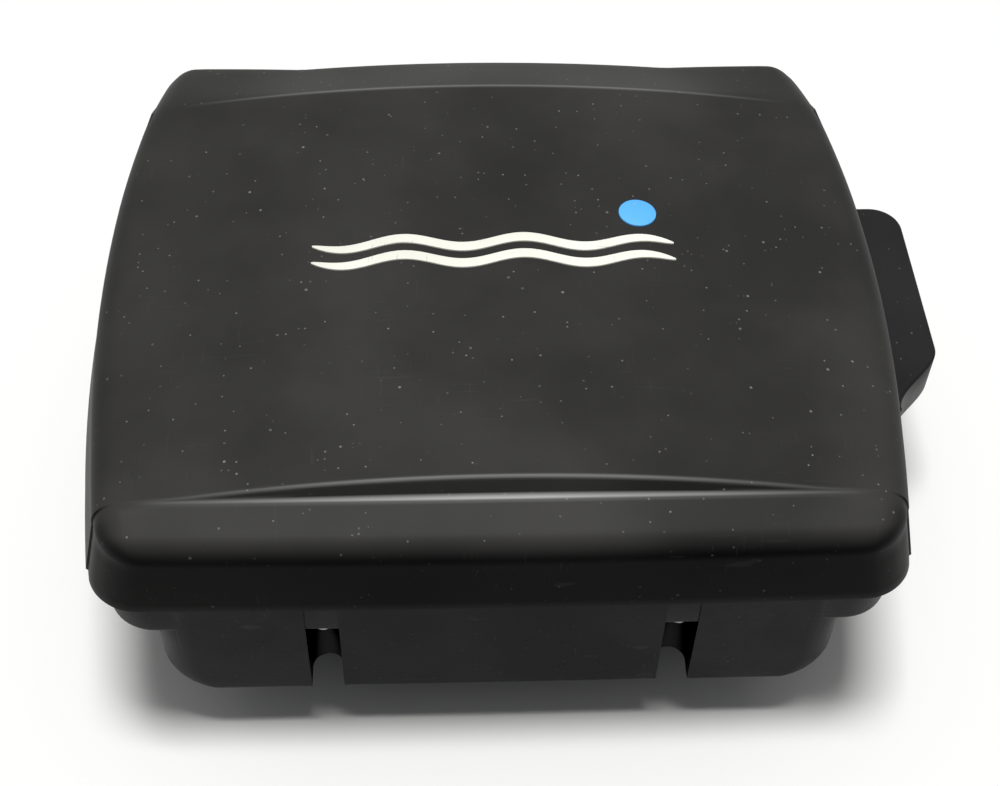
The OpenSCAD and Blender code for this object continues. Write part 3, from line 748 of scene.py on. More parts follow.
FINISHES = (
    # The cover's worn colour also paints the highlight lines at the step and the crease.
    Finish("cover_shell", (0.004, 0.004, 0.0042), (0.007, 0.007, 0.007), roughness=0.45, rough_drift=0.03,
           specular=0.065, scale=1500.0, depth=0.00003, bump=0.2, wear=0.06, worn=(0.34, 0.34, 0.33), dust=0.3,
           # The cover's haze lightens its top: partly dust, partly a painted sheen.
           dust_and_sheen=0.076, scratches=0.02, drift=26.0, painted_highlight=True),
    Finish("mark_white", (0.66, 0.66, 0.59), (0.76, 0.76, 0.68), roughness=0.5, bump=0.2, dust=0.3,
           dust_and_sheen_colour=(0.2, 0.19, 0.18), scratches=0.3),
    Finish("mark_blue", (0.06, 0.34, 0.78), (0.09, 0.40, 0.86), roughness=0.45, bump=0.2, dust=0.3, scratches=0.2,
           worn=(0.2, 0.3, 0.5)),
    Finish("case_plastic", (0.008, 0.008, 0.0092), (0.012, 0.012, 0.0135), roughness=0.45, specular=0.09,
           # Its haze is partly dust and partly a painted sheen on faces that point up.
           scale=1300.0, depth=0.00006, bump=0.5, wear=0.06, worn=(0.07, 0.07, 0.072), dust=0.22, dust_and_sheen=0.03,
           scratches=0.2),
    Finish("bezel_plastic", (0.014, 0.014, 0.0155), (0.019, 0.019, 0.021), roughness=0.42, specular=0.25,
           scale=2000.0, depth=0.00003, bump=0.3, wear=0.08, worn=(0.06, 0.06, 0.062), dust=0.3, scratches=0.15),
    Finish("key_rubber", (0.024, 0.025, 0.028), (0.034, 0.035, 0.039), roughness=0.62, depth=0.00003, bump=0.3,
           wear=0.2, worn=(0.08, 0.08, 0.085), sheen=0.15, dust=0.2),
    Finish("seal_rubber", (0.009, 0.009, 0.0095), (0.016, 0.016, 0.0165), roughness=0.7, bump=0.3, wear=0.25,
           worn=(0.05, 0.05, 0.05), sheen=0.2, dust=0.3),
    Finish("mat_silicone", (0.07, 0.076, 0.085), (0.10, 0.108, 0.12), roughness=0.6, sheen=0.2),
    Finish("lens_glass", (0.012, 0.014, 0.017), (0.015, 0.017, 0.02), roughness=0.05, rough_drift=0.02,
           bump=0.02, coat=0.6, glass=0.85, scratches=0.1, dust=0.15),
    Finish("lens_tape", (0.006, 0.006, 0.006), (0.012, 0.012, 0.012), roughness=0.6),
    Finish("lcd_glass", (0.006, 0.009, 0.012), (0.010, 0.014, 0.018), roughness=0.12, bump=0.02, coat=0.8),
    Finish("backlight", (0.62, 0.64, 0.66), (0.72, 0.74, 0.76), roughness=0.5),
    Finish("plated_steel", (0.40, 0.41, 0.43), (0.52, 0.53, 0.55), roughness=0.34, metallic=1.0,
           pattern=Pattern.BRUSHED, bump=0.15, wear=0.3, worn=(0.7, 0.7, 0.72)),
    Finish("screw_steel", (0.42, 0.43, 0.45), (0.56, 0.57, 0.59), roughness=0.3, metallic=1.0,
           pattern=Pattern.BRUSHED, bump=0.12, wear=0.3, worn=(0.75, 0.75, 0.76)),
    Finish("brass", (0.58, 0.40, 0.13), (0.70, 0.50, 0.19), roughness=0.3, metallic=1.0,
           pattern=Pattern.BRUSHED, bump=0.12, wear=0.3, worn=(0.85, 0.68, 0.35)),
    Finish("contact_gold", (0.74, 0.52, 0.18), (0.82, 0.60, 0.24), roughness=0.22, metallic=1.0,
           pattern=Pattern.BRUSHED, bump=0.05),
    Finish("pcb_green", (0.010, 0.085, 0.036), (0.55, 0.48, 0.26), roughness=0.3, pattern=Pattern.BOARD,
           depth=0.00005, bump=0.5, coat=0.4),
    Finish("chip_black", (0.009, 0.009, 0.010), (0.016, 0.016, 0.017), roughness=0.5),
    Finish("ceramic", (0.52, 0.46, 0.34), (0.60, 0.54, 0.41), roughness=0.5, bump=0.25),
    Finish("cell_steel", (0.55, 0.56, 0.57), (0.66, 0.67, 0.68), roughness=0.2, metallic=1.0,
           pattern=Pattern.BRUSHED, bump=0.06),
    Finish("winding", (0.20, 0.07, 0.02), (0.30, 0.12, 0.035), roughness=0.3, pattern=Pattern.BRUSHED,
           depth=0.0002, bump=0.8, coat=0.4),
    Finish("film_amber", (0.42, 0.17, 0.03), (0.50, 0.22, 0.05), roughness=0.25, coat=0.4, bump=0.1),
    Finish("chassis_alloy", (0.36, 0.37, 0.39), (0.44, 0.45, 0.47), roughness=0.45, metallic=1.0, bump=0.4,
           scale=1500.0, wear=0.3, worn=(0.65, 0.65, 0.66)),
    Finish("pivot_steel", (0.50, 0.51, 0.53), (0.60, 0.61, 0.63), roughness=0.18, metallic=1.0,
           pattern=Pattern.BRUSHED, bump=0.05),
    Finish("card_plastic", (0.014, 0.028, 0.075), (0.020, 0.036, 0.09), roughness=0.4, bump=0.2, wear=0.2),
    Finish("connector_plastic", (0.015, 0.015, 0.0165), (0.024, 0.024, 0.026), roughness=0.38, scale=1800.0,
           bump=0.3, wear=0.3, worn=(0.07, 0.07, 0.075)),
    Finish("insert_plastic", (0.045, 0.047, 0.052), (0.06, 0.062, 0.068), roughness=0.45, bump=0.2),
    Finish("membrane", (0.58, 0.58, 0.56), (0.68, 0.68, 0.66), roughness=0.85, scale=5000.0, bump=0.6),
    Finish("label_plate", (0.36, 0.37, 0.38), (0.45, 0.46, 0.47), roughness=0.36, metallic=0.9,
           pattern=Pattern.BRUSHED, bump=0.2, wear=0.2, worn=(0.6, 0.6, 0.6)),
    Finish("key_print", (0.55, 0.56, 0.56), (0.66, 0.67, 0.67), roughness=0.55, bump=0.1),
)


class Workshop:
    """Makes pieces, dresses them and parents each to its body's empty, hiding the CAD nodes they replace."""

    def __init__(self) -> None:
        """Builds every finish once."""
        groups = Groups()
        self.materials = {finish.slot: finish.build(groups) for finish in FINISHES}

    def hand_over(self, bm: bmesh.types.BMesh, name: str, body: str, slot: str, stands_for: Sequence[str] = (),
                  print_slot: str = "", crease: float = 32.0) -> bpy.types.Object:
        """Makes a finished piece.

        Args:
            bm: Its mesh, in millimetres.
            name: Its name.
            body: The CAD body it moves with.
            slot: The record's material slot.
            stands_for: CAD nodes it replaces.
            print_slot: A finish of its own, where it isn't the slot's.
            crease: Angle of the edges that stay sharp, in degrees.

        Returns:
            The object.
        """
        piece = as_object(bm, name, crease)
        piece.data.materials.append(self.materials[print_slot or slot])
        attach(piece, body)
        if stands_for:
            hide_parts(*stands_for)
        LOG.info("%s: %d faces, rides on %s", name, len(piece.data.polygons), body)
        return piece

    def dress_frame(self) -> None:
        """Gives every CAD node the finish of its slot."""
        for part in frame["record"]["subparts"]:
            thing = frame["nodes"][part["node"]]
            thing.data.materials.clear()
            thing.data.materials.append(self.materials[part["material_slot"]])


# ---------- plan outline of the unit ----------


@dataclass
class Plan:
    """The bowed outline that the cover, the bezel and the flange share."""

    width: float
    height: float
    side_bow: float = 6.6
    end_bow: float = 0.7
    corner: float = 11.0

    def outline(self, inset: float, steps: int = 12) -> list[Point]:
        """Gives the outline moved in by a distance.

        Args:
            inset: The distance.
            steps: Chords of each corner and quarter edge.

        Returns:
            The outline, anticlockwise.
        """
        side_r = ((self.height / 2) ** 2 + self.side_bow ** 2) / (2 * self.side_bow)
        end_r = ((self.width / 2) ** 2 + self.end_bow ** 2) / (2 * self.end_bow)
        side_x, end_y = self.width / 2 - side_r, self.height / 2 - end_r
        corner = self._corner(side_r, end_r, side_x, end_y)
        side_turn = math.degrees(math.atan2(corner[1], corner[0] - side_x))
        end_turn = math.degrees(math.atan2(corner[1] - end_y, corner[0]))
        quarter = arc((side_x, 0), side_r - inset, 0, side_turn * 0.98, steps)
        quarter += arc(corner, self.corner - inset, side_turn, end_turn, steps)
        quarter += arc((0, end_y), end_r - inset, end_turn + (90 - end_turn) * 0.02, 90, steps)
        left = [(-x, y) for x, y in reversed(quarter[:-1])]
        top = quarter + left
        return top + [(x, -y) for x, y in reversed(top[1:-1])]

    def _corner(self, side_r: float, end_r: float, side_x: float, end_y: float) -> Point:
        """Finds the centre of the arc that touches both bowed edges from inside."""
        x, y = self.width / 2 - self.corner, self.height / 2 - self.corner
        for _ in range(60):
            x = side_x + math.sqrt((side_r - self.corner) ** 2 - y * y)
            y = end_y + math.sqrt((end_r - self.corner) ** 2 - x * x)
        return x, y


# ---------- the sun cover ----------


@dataclass
class SunCover:
    """The push-on cover: a crowned panel with a scoop below and a falling band above."""

    low: Vector
    high: Vector
    wall: float = 1.8
    side_bow: float = 6.6
    end_bow: float = 0.7
    corner: float = 6.8
    side_lean: float = 2.9
    end_lean: float = 1.1
    crown_rise: float = 4.5
    side_round: float = 5.0
    end_round: float = 3.0
    scoop_y: float = -55.0
    scoop_z: float = 60.0
    scoop_slope: float = 24.0
    step_run: float = 2.3
    band_y: float = 45.6
    band_slope: float = 23.0
    band_sweep: float = 2.0
    half_x: float = field(init=False)
    half_y: float = field(init=False)
    crown_r: float = field(init=False)

    def __post_init__(self) -> None:
        """Works out the half sizes at the top of the wall."""
        self.half_x = (self.high.x - self.low.x) / 2 - self.side_bow - self.side_lean
        self.half_y = (self.high.y - self.low.y) / 2 - self.end_bow - self.end_lean
        half = (self.high.x - self.low.x) / 2
        self.crown_r = (half ** 2 + self.crown_rise ** 2) / (2 * self.crown_rise)

    def crown(self, x: float) -> float:
        """Returns the height of the crown at x."""
        return self.high.z - self.crown_r + math.sqrt(self.crown_r ** 2 - x * x)

    def stations(self, half: float, rounding: float, inner: Sequence[float]) -> list[float]:
        """Spaces the grid's lines, close together round the edges.

        Args:
            half: Half the size.
            rounding: Radius of the edge rounding.
            inner: The lines between the two roundings, in order.

        Returns:
            All the lines, in order.
        """
        close = [half - rounding * (1 - math.cos(math.radians(a))) for a in range(0, 91, 9)]
        return [-s for s in close] + list(inner) + close[::-1]

    def x_lines(self) -> list[float]:
        """Returns the grid's lines across the width."""
        reach = self.half_x - self.side_round
        count = 56
        inner = [reach * (2 * i / count - 1) for i in range(1, count)]
        return self.stations(self.half_x, self.side_round, inner)

    def y_lines(self) -> list[float]:
        """Returns the grid's lines down the height, with extra ones at the step and the crease."""
        start, step_end = self.scoop_y, self.scoop_y + self.step_run
        strip = [start - d for d in (4.6, 3.6, 2.6, 1.7, 1.0, 0.5, 0.2)]
        step = [start + self.step_run * t for t in (0, 0.2, 0.4, 0.6, 0.75, 0.84, 0.9, 0.95, 1)]
        step += [step_end + d for d in (0.08, 0.18, 0.32, 0.55, 1.0, 1.8)]
        count = 34
        reach = self.band_y - 0.8 - step_end
        panel = [step_end + reach * i / count for i in range(1, count + 1)]
        crease = [self.band_y + d for d in (-0.35, -0.12, 0.0, 0.12, 0.35, 0.9)]
        band = [self.band_y + d for d in (2.5, 4.5, 6.5, 8.5, 10.5, 12.5)]
        return self.stations(self.half_y, self.end_round, strip + step + panel + crease + band)

    def place(self, p: float, q: float) -> Vector:
        """Puts a point of the flat grid on the cover.

        Args:
            p: Across the width.
            q: Down the height.

        Returns:
            The point on the outer face.
        """
        x, y = self._round_corner(p, q)
        x *= (self.half_x + self.side_bow * (1 - (y / self.half_y) ** 2)) / self.half_x
        near_edge = ramp(abs(self.scoop_y), self.half_y, abs(y))
        y += math.copysign(self.end_bow * (1 - (p / self.half_x) ** 2) * near_edge, y)
        y = self._sweep_rows(x, y, q)
        side = ramp(self.side_round, 0, self.half_x - abs(p))
        end = ramp(self.end_round, 0, self.half_y - abs(q))
        both = 1 - (1 - side ** 2) * (1 - end ** 2)
        share = (side ** 2 + 1e-9) / (side ** 2 + end ** 2 + 2e-9)
        radius = self.end_round + (self.side_round - self.end_round) * share
        drop = radius * (1 - math.sqrt(max(0.0, 1 - both)))
        return Vector((x, y, self._face(x, y, q) - drop))

    def _round_corner(self, p: float, q: float) -> Point:
        """Bends the grid's square corners into round ones."""
        s = (abs(p) - self.half_x + self.corner) / self.corner
        t = (abs(q) - self.half_y + self.corner) / self.corner
        if s <= 0 or t <= 0:
            return p, q
        bent_s = s * math.sqrt(1 - t * t / 2)
        bent_t = t * math.sqrt(1 - s * s / 2)
        x = self.half_x - self.corner + self.corner * bent_s
        y = self.half_y - self.corner + self.corner * bent_t
        return math.copysign(x, p), math.copysign(y, q)

    def _run(self, x: float) -> float:
        """Returns how wide the step is at x: it closes where the crown meets the scoop's line."""
        rise = self.crown(x) - self.scoop_z
        return max(0.3, self.step_run * rise / (self.high.z - self.scoop_z))

    def _sweep_rows(self, x: float, y: float, q: float) -> float:
        """Shifts the rows so that they follow the step's upper edge and the curved crease."""
        step_end = self.scoop_y + self.step_run
        if self.scoop_y < q <= step_end:
            return self.scoop_y + (y - self.scoop_y) * self._run(x) / self.step_run
        if step_end < q < step_end + 14:
            fade = 1 - ramp(step_end, step_end + 14, q)
            return y - (self.step_run - self._run(x)) * fade
        rise = ramp(20, self.band_y, q) if q < self.band_y else ramp(self.half_y, self.band_y, q)
        return y - self.band_sweep * (x / 58) ** 2 * rise

    def _face(self, x: float, y: float, q: float) -> float:
        """Gives the height of the outer face before its edges are rounded."""
        crown = self.crown(x)
        if q <= self.scoop_y:
            strip = self.scoop_z + (y - self.scoop_y) * math.tan(math.radians(self.scoop_slope))
            return soft_min(crown, strip, 0.5)
        steep = (self.high.z - self.scoop_z) / self.step_run
        riser = self.scoop_z + (y - self.scoop_y) * steep
        if y < self.scoop_y + 2 * self.step_run:
            return soft_min(crown, riser, 0.5)
        crease = self.band_y - self.band_sweep * (x / 58) ** 2
        side = ramp(38, 68, abs(x))
        past = -soft_min(crease - y, 0, 0.5 + 4 * side)
        return crown - past * math.tan(math.radians(self.band_slope)) * (1 - 0.5 * side)

    def mesh(self) -> bmesh.types.BMesh:
        """Builds the shell.

        Returns:
            The closed shell.
        """
        xs, ys = self.x_lines(), self.y_lines()
        bm = bmesh.new()
        bmesh.ops.create_grid(bm, x_segments=len(xs) - 1, y_segments=len(ys) - 1, size=1)
        for vert in bm.verts:
            i = round((vert.co.x + 1) / 2 * (len(xs) - 1))
            j = round((vert.co.y + 1) / 2 * (len(ys) - 1))
            vert.co = self.place(xs[i], ys[j])
        # Marks the lines that get a painted highlight.
        self._mark_painted_highlight(bm)
        self._walls(bm)
        bmesh.ops.recalc_face_normals(bm, faces=bm.faces)
        if sum(f.normal.z * f.calc_area() for f in bm.faces) < 0:
            bmesh.ops.reverse_faces(bm, faces=bm.faces)
        bmesh.ops.solidify(bm, geom=bm.faces, thickness=self.wall)
        bmesh.ops.recalc_face_normals(bm, faces=bm.faces)
        rim = [e for e in bm.edges if all(abs(v.co.z - self.low.z) < 0.2 for v in e.verts)
               and e.calc_face_angle(0) > 1.0]
        round_edges(bm, rim, 0.35, 2)
        return bm

    def _mark_painted_highlight(self, bm: bmesh.types.BMesh) -> None:
        """Marks the step's foot, its upper rim and the crease, where the cover's colour is lightened into a painted
        highlight and its roughness lowered.
        """
        layer = bm.verts.layers.float.new(PAINTED_HIGHLIGHT)
        for vert in bm.verts:
            x, y = vert.co.x, vert.co.y
            foot = (1 - ramp(0.12, 0.45, abs(y - self.scoop_y + 0.15))) * (1 - ramp(6, 60, abs(x)))
            rim = (1 - ramp(0.1, 0.4, abs(y - self.scoop_y - self._run(x)))) * (1 - ramp(20, 62, abs(x)))
            crease = self.band_y - self.band_sweep * (x / 58) ** 2
            fold = (1 - ramp(0.1, 0.5, abs(y - crease))) * (1 - ramp(30, 60, abs(x)))
            vert[layer] = max(foot, 0.3 * rim, 0.3 * fold)

    def _walls(self, bm: bmesh.types.BMesh, rows: int = 6) -> None:
        """Draws the panel's edge down to the rim, leaning out on the way.

        Args:
            bm: The open panel.
            rows: Faces down the wall.
        """
        grow_x = (self.high.x - self.low.x) / 2 / (self.half_x + self.side_bow)
        grow_y = (self.high.y - self.low.y) / 2 / (self.half_y + self.end_bow)
        edges = [e for e in bm.edges if e.is_boundary]
        tops = {v: v.co.copy() for e in edges for v in e.verts}
        for row in range(1, rows + 1):
            grown = bmesh.ops.extrude_edge_only(bm, edges=edges)["geom"]
            edges = [g for g in grown if isinstance(g, bmesh.types.BMEdge) and g.is_boundary]
            fresh = [g for g in grown if isinstance(g, bmesh.types.BMVert)]
            below: dict = {}
            for vert in fresh:
                above = next(e.other_vert(vert) for e in vert.link_edges if e.other_vert(vert) in tops)
                start = tops[above]
                t = row / rows
                vert.co = (start.x * (1 + (grow_x - 1) * t), start.y * (1 + (grow_y - 1) * t),
                           start.z + (self.low.z - start.z) * t)
                below[vert] = start
            tops = below

    def build(self, shop: Workshop) -> None:
        """Makes the cover and its inlay."""
        shop.hand_over(self.mesh(), "sun_cover_shell", "cover", "cover_shell", ["sun_cover"], crease=34)
        shop.hand_over(self.waves(), "inlay_waves", "cover", "mark_white", ["emblem_waves"], crease=40)
        shop.hand_over(self.sun(), "inlay_sun", "cover", "mark_blue", ["emblem_disc"], crease=40)

    def _lay(self, bm: bmesh.types.BMesh, thick: float) -> bmesh.types.BMesh:
        """Lays a flat patch on the crown, gives it its thickness and softens its rim."""
        for vert in bm.verts:
            vert.co.z = self.crown(vert.co.x) + thick
        bmesh.ops.recalc_face_normals(bm, faces=bm.faces)
        if sum(f.normal.z for f in bm.faces) < 0:
            bmesh.ops.reverse_faces(bm, faces=bm.faces)
        bmesh.ops.solidify(bm, geom=bm.faces, thickness=thick + 0.1)
        rim = [e for e in bm.edges if e.calc_face_angle(0) > 1.0]
        tops = [e for e in rim if sum(v.co.z - self.crown(v.co.x) for v in e.verts) > thick]
        round_edges(bm, tops, 0.12, 2)
        bmesh.ops.recalc_face_normals(bm, faces=bm.faces)
        return bm

    def waves(self) -> bmesh.types.BMesh:
        """Makes the two wave ribbons, thinner towards their ends.

        Returns:
            The ribbons.
        """
        low, high = node_box("emblem_waves")
        length, centre = high.x - low.x, (low.y + high.y) / 2
        ribbons = []
        for side in (-1, 1):
            bm = bmesh.new()
            bmesh.ops.create_grid(bm, x_segments=120, y_segments=4, size=1)
            for vert in bm.verts:
                along = vert.co.x
                half = 1.1 * math.sqrt(max(0.02, 1 - abs(along) ** 6))
                swing = 1.2 * math.sin(along * math.pi * 3)
                vert.co = (along * length / 2, centre + side * 2.1 + swing + vert.co.y * half, 0)
            ribbons.append(self._lay(bm, 0.3))
        return merged(ribbons)

    def sun(self) -> bmesh.types.BMesh:
        """Makes the round inlay above the waves."""
        low, high = node_box("emblem_disc")
        centre = (low + high) / 2
        radius = (high.x - low.x) / 2
        bm = bmesh.new()
        bmesh.ops.create_circle(bm, cap_ends=True, segments=64, radius=radius,
                                matrix=Matrix.Translation((centre.x, centre.y, 0)))
        bmesh.ops.inset_region(bm, faces=bm.faces, thickness=radius * 0.35)
        return self._lay(bm, 0.3)


# ---------- the rear case ----------


@dataclass
class RearCase:
    """The rear half of the case: flange, body, raised block, plug recess and card bay."""

    plan: Plan
    flange_low: float = 32.0
    parting: float = 44.0
    flange_inset: float = 2.6
    body_half: float = 59.8
    body_low: float = 14.5
    body_corner: float = 7.0
    side_round: float = 5.5
    groove: Point = (30.7, 58.6)
    groove_r: float = 2.85
    hump: Point = (92.0, 84.0)
    recess: Point = (74.0, 26.0)
    recess_y: float = -21.0
    recess_top: float = 14.0
    skin: float = 2.5

    def body_outline(self) -> list[Point]:
        """Outlines the body with its four screw grooves.

        Returns:
            The outline, anticlockwise.
        """
        edge_y = self.plan.height / 2 - self.flange_inset + 0.03
        x, y, r = self.body_half, edge_y, self.body_corner
        gx, gy = self.groove
        right_groove = [(gx + self.groove_r, y), *arc((gx, gy), self.groove_r, 0, -180, 16), (gx - self.groove_r, y)]
        top = arc((x - r, y - r), r, 0, 90, 10) + right_groove
        top += self._bowed_edge(gx - self.groove_r - 1, y)
        upper = top + [(-px, py) for px, py in reversed(top)]
        return upper + [(px, -py) for px, py in reversed(upper)]

    def _bowed_edge(self, reach: float, y: float, steps: int = 6) -> list[Point]:
        """Returns the slightly bowed stretch between a groove and the middle."""
        bow = self.plan.end_bow * (reach / (self.plan.width / 2)) ** 2
        points = []
        for i in range(steps):
            x = reach * (1 - i / steps)
            points.append((x, y - bow * (x / reach) ** 2))
        return points

    def body(self) -> bmesh.types.BMesh:
        """Makes the body, its two long lower edges rounded and the others crisp."""
        bm = prism(self.body_outline(), self.body_low, self.body_low + self.side_round)
        top_faces = [f for f in bm.faces if f.normal.z > 0.9]
        grown = bmesh.ops.extrude_face_region(bm, geom=top_faces)["geom"]
        bmesh.ops.delete(bm, geom=top_faces, context="FACES_ONLY")
        lifted = [g for g in grown if isinstance(g, bmesh.types.BMVert)]
        bmesh.ops.translate(bm, verts=lifted, vec=(0, 0, self.parting - 0.4 - self.body_low - self.side_round))
        for angle in range(10, 90, 10):
            height = self.body_low + self.side_round * (1 - math.cos(math.radians(angle)))
            geometry = list(bm.verts) + list(bm.edges) + list(bm.faces)
            bmesh.ops.bisect_plane(bm, geom=geometry, plane_co=(0, 0, height), plane_no=(0, 0, 1), dist=1e-4)
        fixed = self.body_half - 3 * self.side_round
        for vert in bm.verts:
            below = self.body_low + self.side_round - vert.co.z
            if below <= 0 or abs(vert.co.x) <= fixed:
                continue
            pull = self.side_round - math.sqrt(max(0.0, self.side_round ** 2 - below ** 2))
            share = (abs(vert.co.x) - fixed) / (self.body_half - fixed)
            vert.co.x = math.copysign(abs(vert.co.x) - pull * share, vert.co.x)
        round_edges(bm, level_edges(bm, self.body_low), 0.6, 3)
        bmesh.ops.recalc_face_normals(bm, faces=bm.faces)
        return bm

    def mesh(self) -> bmesh.types.BMesh:
        """Builds the rear case.

        Returns:
            The closed solid.
        """
        flange = soft_prism(self.plan.outline(self.flange_inset), self.flange_low, self.parting, bottom=1.5, steps=5)
        hump = soft_prism(round_rect(*self.hump, 8), 0, self.body_low + 3, bottom=1.2, steps=4)
        steps = [(Cut.ADD, self.body()), (Cut.ADD, hump), (Cut.ADD, self.bay())]
        steps += [(Cut.TAKE, cavity) for cavity in self.cavities()]
        steps += [(Cut.ADD, self.posts())]
        steps += [(Cut.TAKE, tool) for tool in self.openings()]
        return carve(flange, steps)

    def bay(self) -> bmesh.types.BMesh:
        """Makes the flat-faced block that the card slot and the door's lugs stand on."""
        door_low, door_high = node_box("card_door")
        face_x = door_low.x - 0.3
        base = block((62, door_low.y + 1, self.flange_low + 0.01), (face_x, door_high.y - 1, self.flange_low + 7.6), 0.4)
        pin = middle("door_hinge_pin")
        lugs = []
        for y in LUG_STARTS:
            lug = drum(LUG_R, y, y + LUG_WIDTH, 0.25, 32)
            moved(lug, Matrix.Translation((pin.x, 0, pin.z)) @ Matrix.Rotation(-math.pi / 2, 4, "X"))
            lugs.append(lug)
            lugs.append(block((face_x - 1, y + 0.02, pin.z - 0.88), (pin.x, y + LUG_WIDTH - 0.02, pin.z + LUG_R - 0.02)))
        return carve(base, [(Cut.ADD, lug) for lug in lugs])

    def cavities(self) -> list[bmesh.types.BMesh]:
        """Gives the hollow inside, in three layers."""
        flange = prism(self.plan.outline(self.flange_inset + self.skin), self.flange_low + 2, self.parting + 1)
        body = prism(round_rect(2 * (self.body_half - self.skin) - 12, 106, 6), self.body_low + self.skin,
                     self.flange_low + 3)
        hump = prism(round_rect(self.hump[0] - 2 * self.skin, self.hump[1] - 2 * self.skin, 5.5), self.skin,
                     self.body_low + 4)
        wall = 2 * self.skin
        keep = prism(round_rect(self.recess[0] + wall, self.recess[1] + wall, 4, (0, self.recess_y)), 0,
                     self.recess_top + self.skin)
        hump = carve(hump, [(Cut.TAKE, keep)])
        return [flange, body, hump]

    def posts(self) -> bmesh.types.BMesh:
        """Makes the screw posts inside the flange."""
        parts = []
        for sx in (-1, 1):
            for sy in (-1, 1):
                parts.append(shifted(drum(4.2, self.flange_low + 1.9, self.parting - 0.02), sx * self.groove[0],
                                     sy * (self.groove[1] - 0.6)))
                parts.append(shifted(drum(5, self.flange_low + 0.5, self.flange_low + 9.5), sx * 64, sy * 45))
        first = parts.pop()
        return carve(first, [(Cut.ADD, part) for part in parts])

    def openings(self) -> list[bmesh.types.BMesh]:
        """Gives everything that is cut out of the case."""
        tools = [soft_prism(round_rect(*self.recess, 3, (0, self.recess_y)), -1, self.recess_top, top=0.8)]
        for node in ("power_connector", "transducer_connector", "network_connector"):
            at = middle(node)
            tools.append(shifted(drum(6.9, self.recess_top - 1, self.recess_top + 4), at.x, at.y))
        insert_low, insert_high = node_box("flush_inserts")
        radius = 3.0
        for sx in (insert_low.x + radius, insert_high.x - radius):
            for sy in (insert_low.y + radius, insert_high.y - radius):
                tools.append(shifted(drum(radius, self.flange_low - 1, insert_high.z), sx, sy))
        for sx in (-1, 1):
            for sy in (-1, 1):
                tools.append(shifted(drum(1.7, self.flange_low - 1, self.parting + 1), sx * self.groove[0],
                                     sy * self.groove[1]))
        bail = middle("bail_inserts")
        for turn in (-1, 1):
            hole = drum(4, self.body_half - 10, self.body_half + 1)
            tools.append(moved(hole, Matrix.Translation((0, 0, bail.z)) @ Matrix.Rotation(turn * math.pi / 2, 4, "Y")))
        card_low, card_high = node_box("memory_card")
        tools.append(block((64, card_low.y - 0.6, card_low.z - 0.35), (76, card_high.y + 0.6, card_high.z + 0.35)))
        pin_low, pin_high = node_box("door_hinge_pin")
        pin = (pin_low + pin_high) / 2
        bore = drum(0.95, pin_low.y, pin_high.y)
        tools.append(moved(bore, Matrix.Translation((pin.x, 0, pin.z)) @ Matrix.Rotation(-math.pi / 2, 4, "X")))
        label = middle("rear_label")
        tools.append(prism(round_rect(50.4, 20.4, 2.2, (label.x, label.y)), -1, 0.5))
        vent = middle("vent_membrane")
        tools.append(shifted(drum(1.2, -1, 4), vent.x, vent.y))
        return tools

    def build(self, shop: Workshop) -> None:
        """Makes the case, its screws and its side pads."""
        shop.hand_over(self.mesh(), "rear_case", "unit", "case_plastic", ["rear_housing"], crease=30)
        shop.hand_over(self.screws(), "case_screw_set", "unit", "screw_steel", ["case_screws"], crease=35)
        shop.hand_over(self.pads(), "bail_pad_pair", "unit", "seal_rubber", ["bail_pads"], crease=35)

    def screws(self) -> bmesh.types.BMesh:
        """Makes the four pan-head screws with their cross recesses."""
        low, high = node_box("case_screws")
        head = [(0, low.z), (1.5, low.z + 0.03), (2.1, low.z + 0.25), (2.42, low.z + 0.8), (2.5, low.z + 1.3),
                (2.5, low.z + 2.0), (1.5, low.z + 2.0), (1.5, high.z - 1), (0.9, high.z), (0, high.z)]
        screws = []
        for sx in (-1, 1):
            for sy in (-1, 1):
                screw = lathe(head, 40)
                cross = [(Cut.TAKE, block((-1.4, -0.3, low.z - 1), (1.4, 0.3, low.z + 1.0))),
                         (Cut.TAKE, block((-0.3, -1.4, low.z - 1), (0.3, 1.4, low.z + 1.0)))]
                turn = Matrix.Rotation(math.radians(23 * (sx + 2 * sy)), 4, "Z")
                screws.append(shifted(moved(carve(screw, cross), turn), sx * self.groove[0], sy * self.groove[1]))
        return merged(screws)

    def pads(self) -> bmesh.types.BMesh:
        """Makes the ribbed friction pads that a bracket's arms press on."""
        low, high = node_box("bail_pads")
        thick = high.x - self.body_half
        centre = (low.z + high.z) / 2
        pads = []
        for side in (-1, 1):
            pad = soft_prism(round_rect(high.z - low.z, high.y - low.y, 2), 0, thick - 0.35, top=0.3)
            ribs = [(Cut.ADD, block((-3.6, y - 0.5, thick - 0.7), (3.6, y + 0.5, thick), 0.2))
                    for y in (-15, -12.5, -10, -7.5, 7.5, 10, 12.5, 15)]
            ring = lathe([(3.4, thick - 0.8), (4.1, thick - 0.8), (4.1, thick - 0.15), (3.9, thick), (3.6, thick),
                          (3.4, thick - 0.15)], 48)
            hole = drum(3.2, -1, thick + 1)
            pad = carve(pad, [*ribs, (Cut.ADD, ring), (Cut.TAKE, hole)])
            turn = Matrix.Rotation(side * math.pi / 2, 4, "Y")
            place = Matrix.Translation((side * self.body_half, 0, centre))
            pads.append(moved(pad, place @ turn))
        return merged(pads)


# ---------- the card door ----------


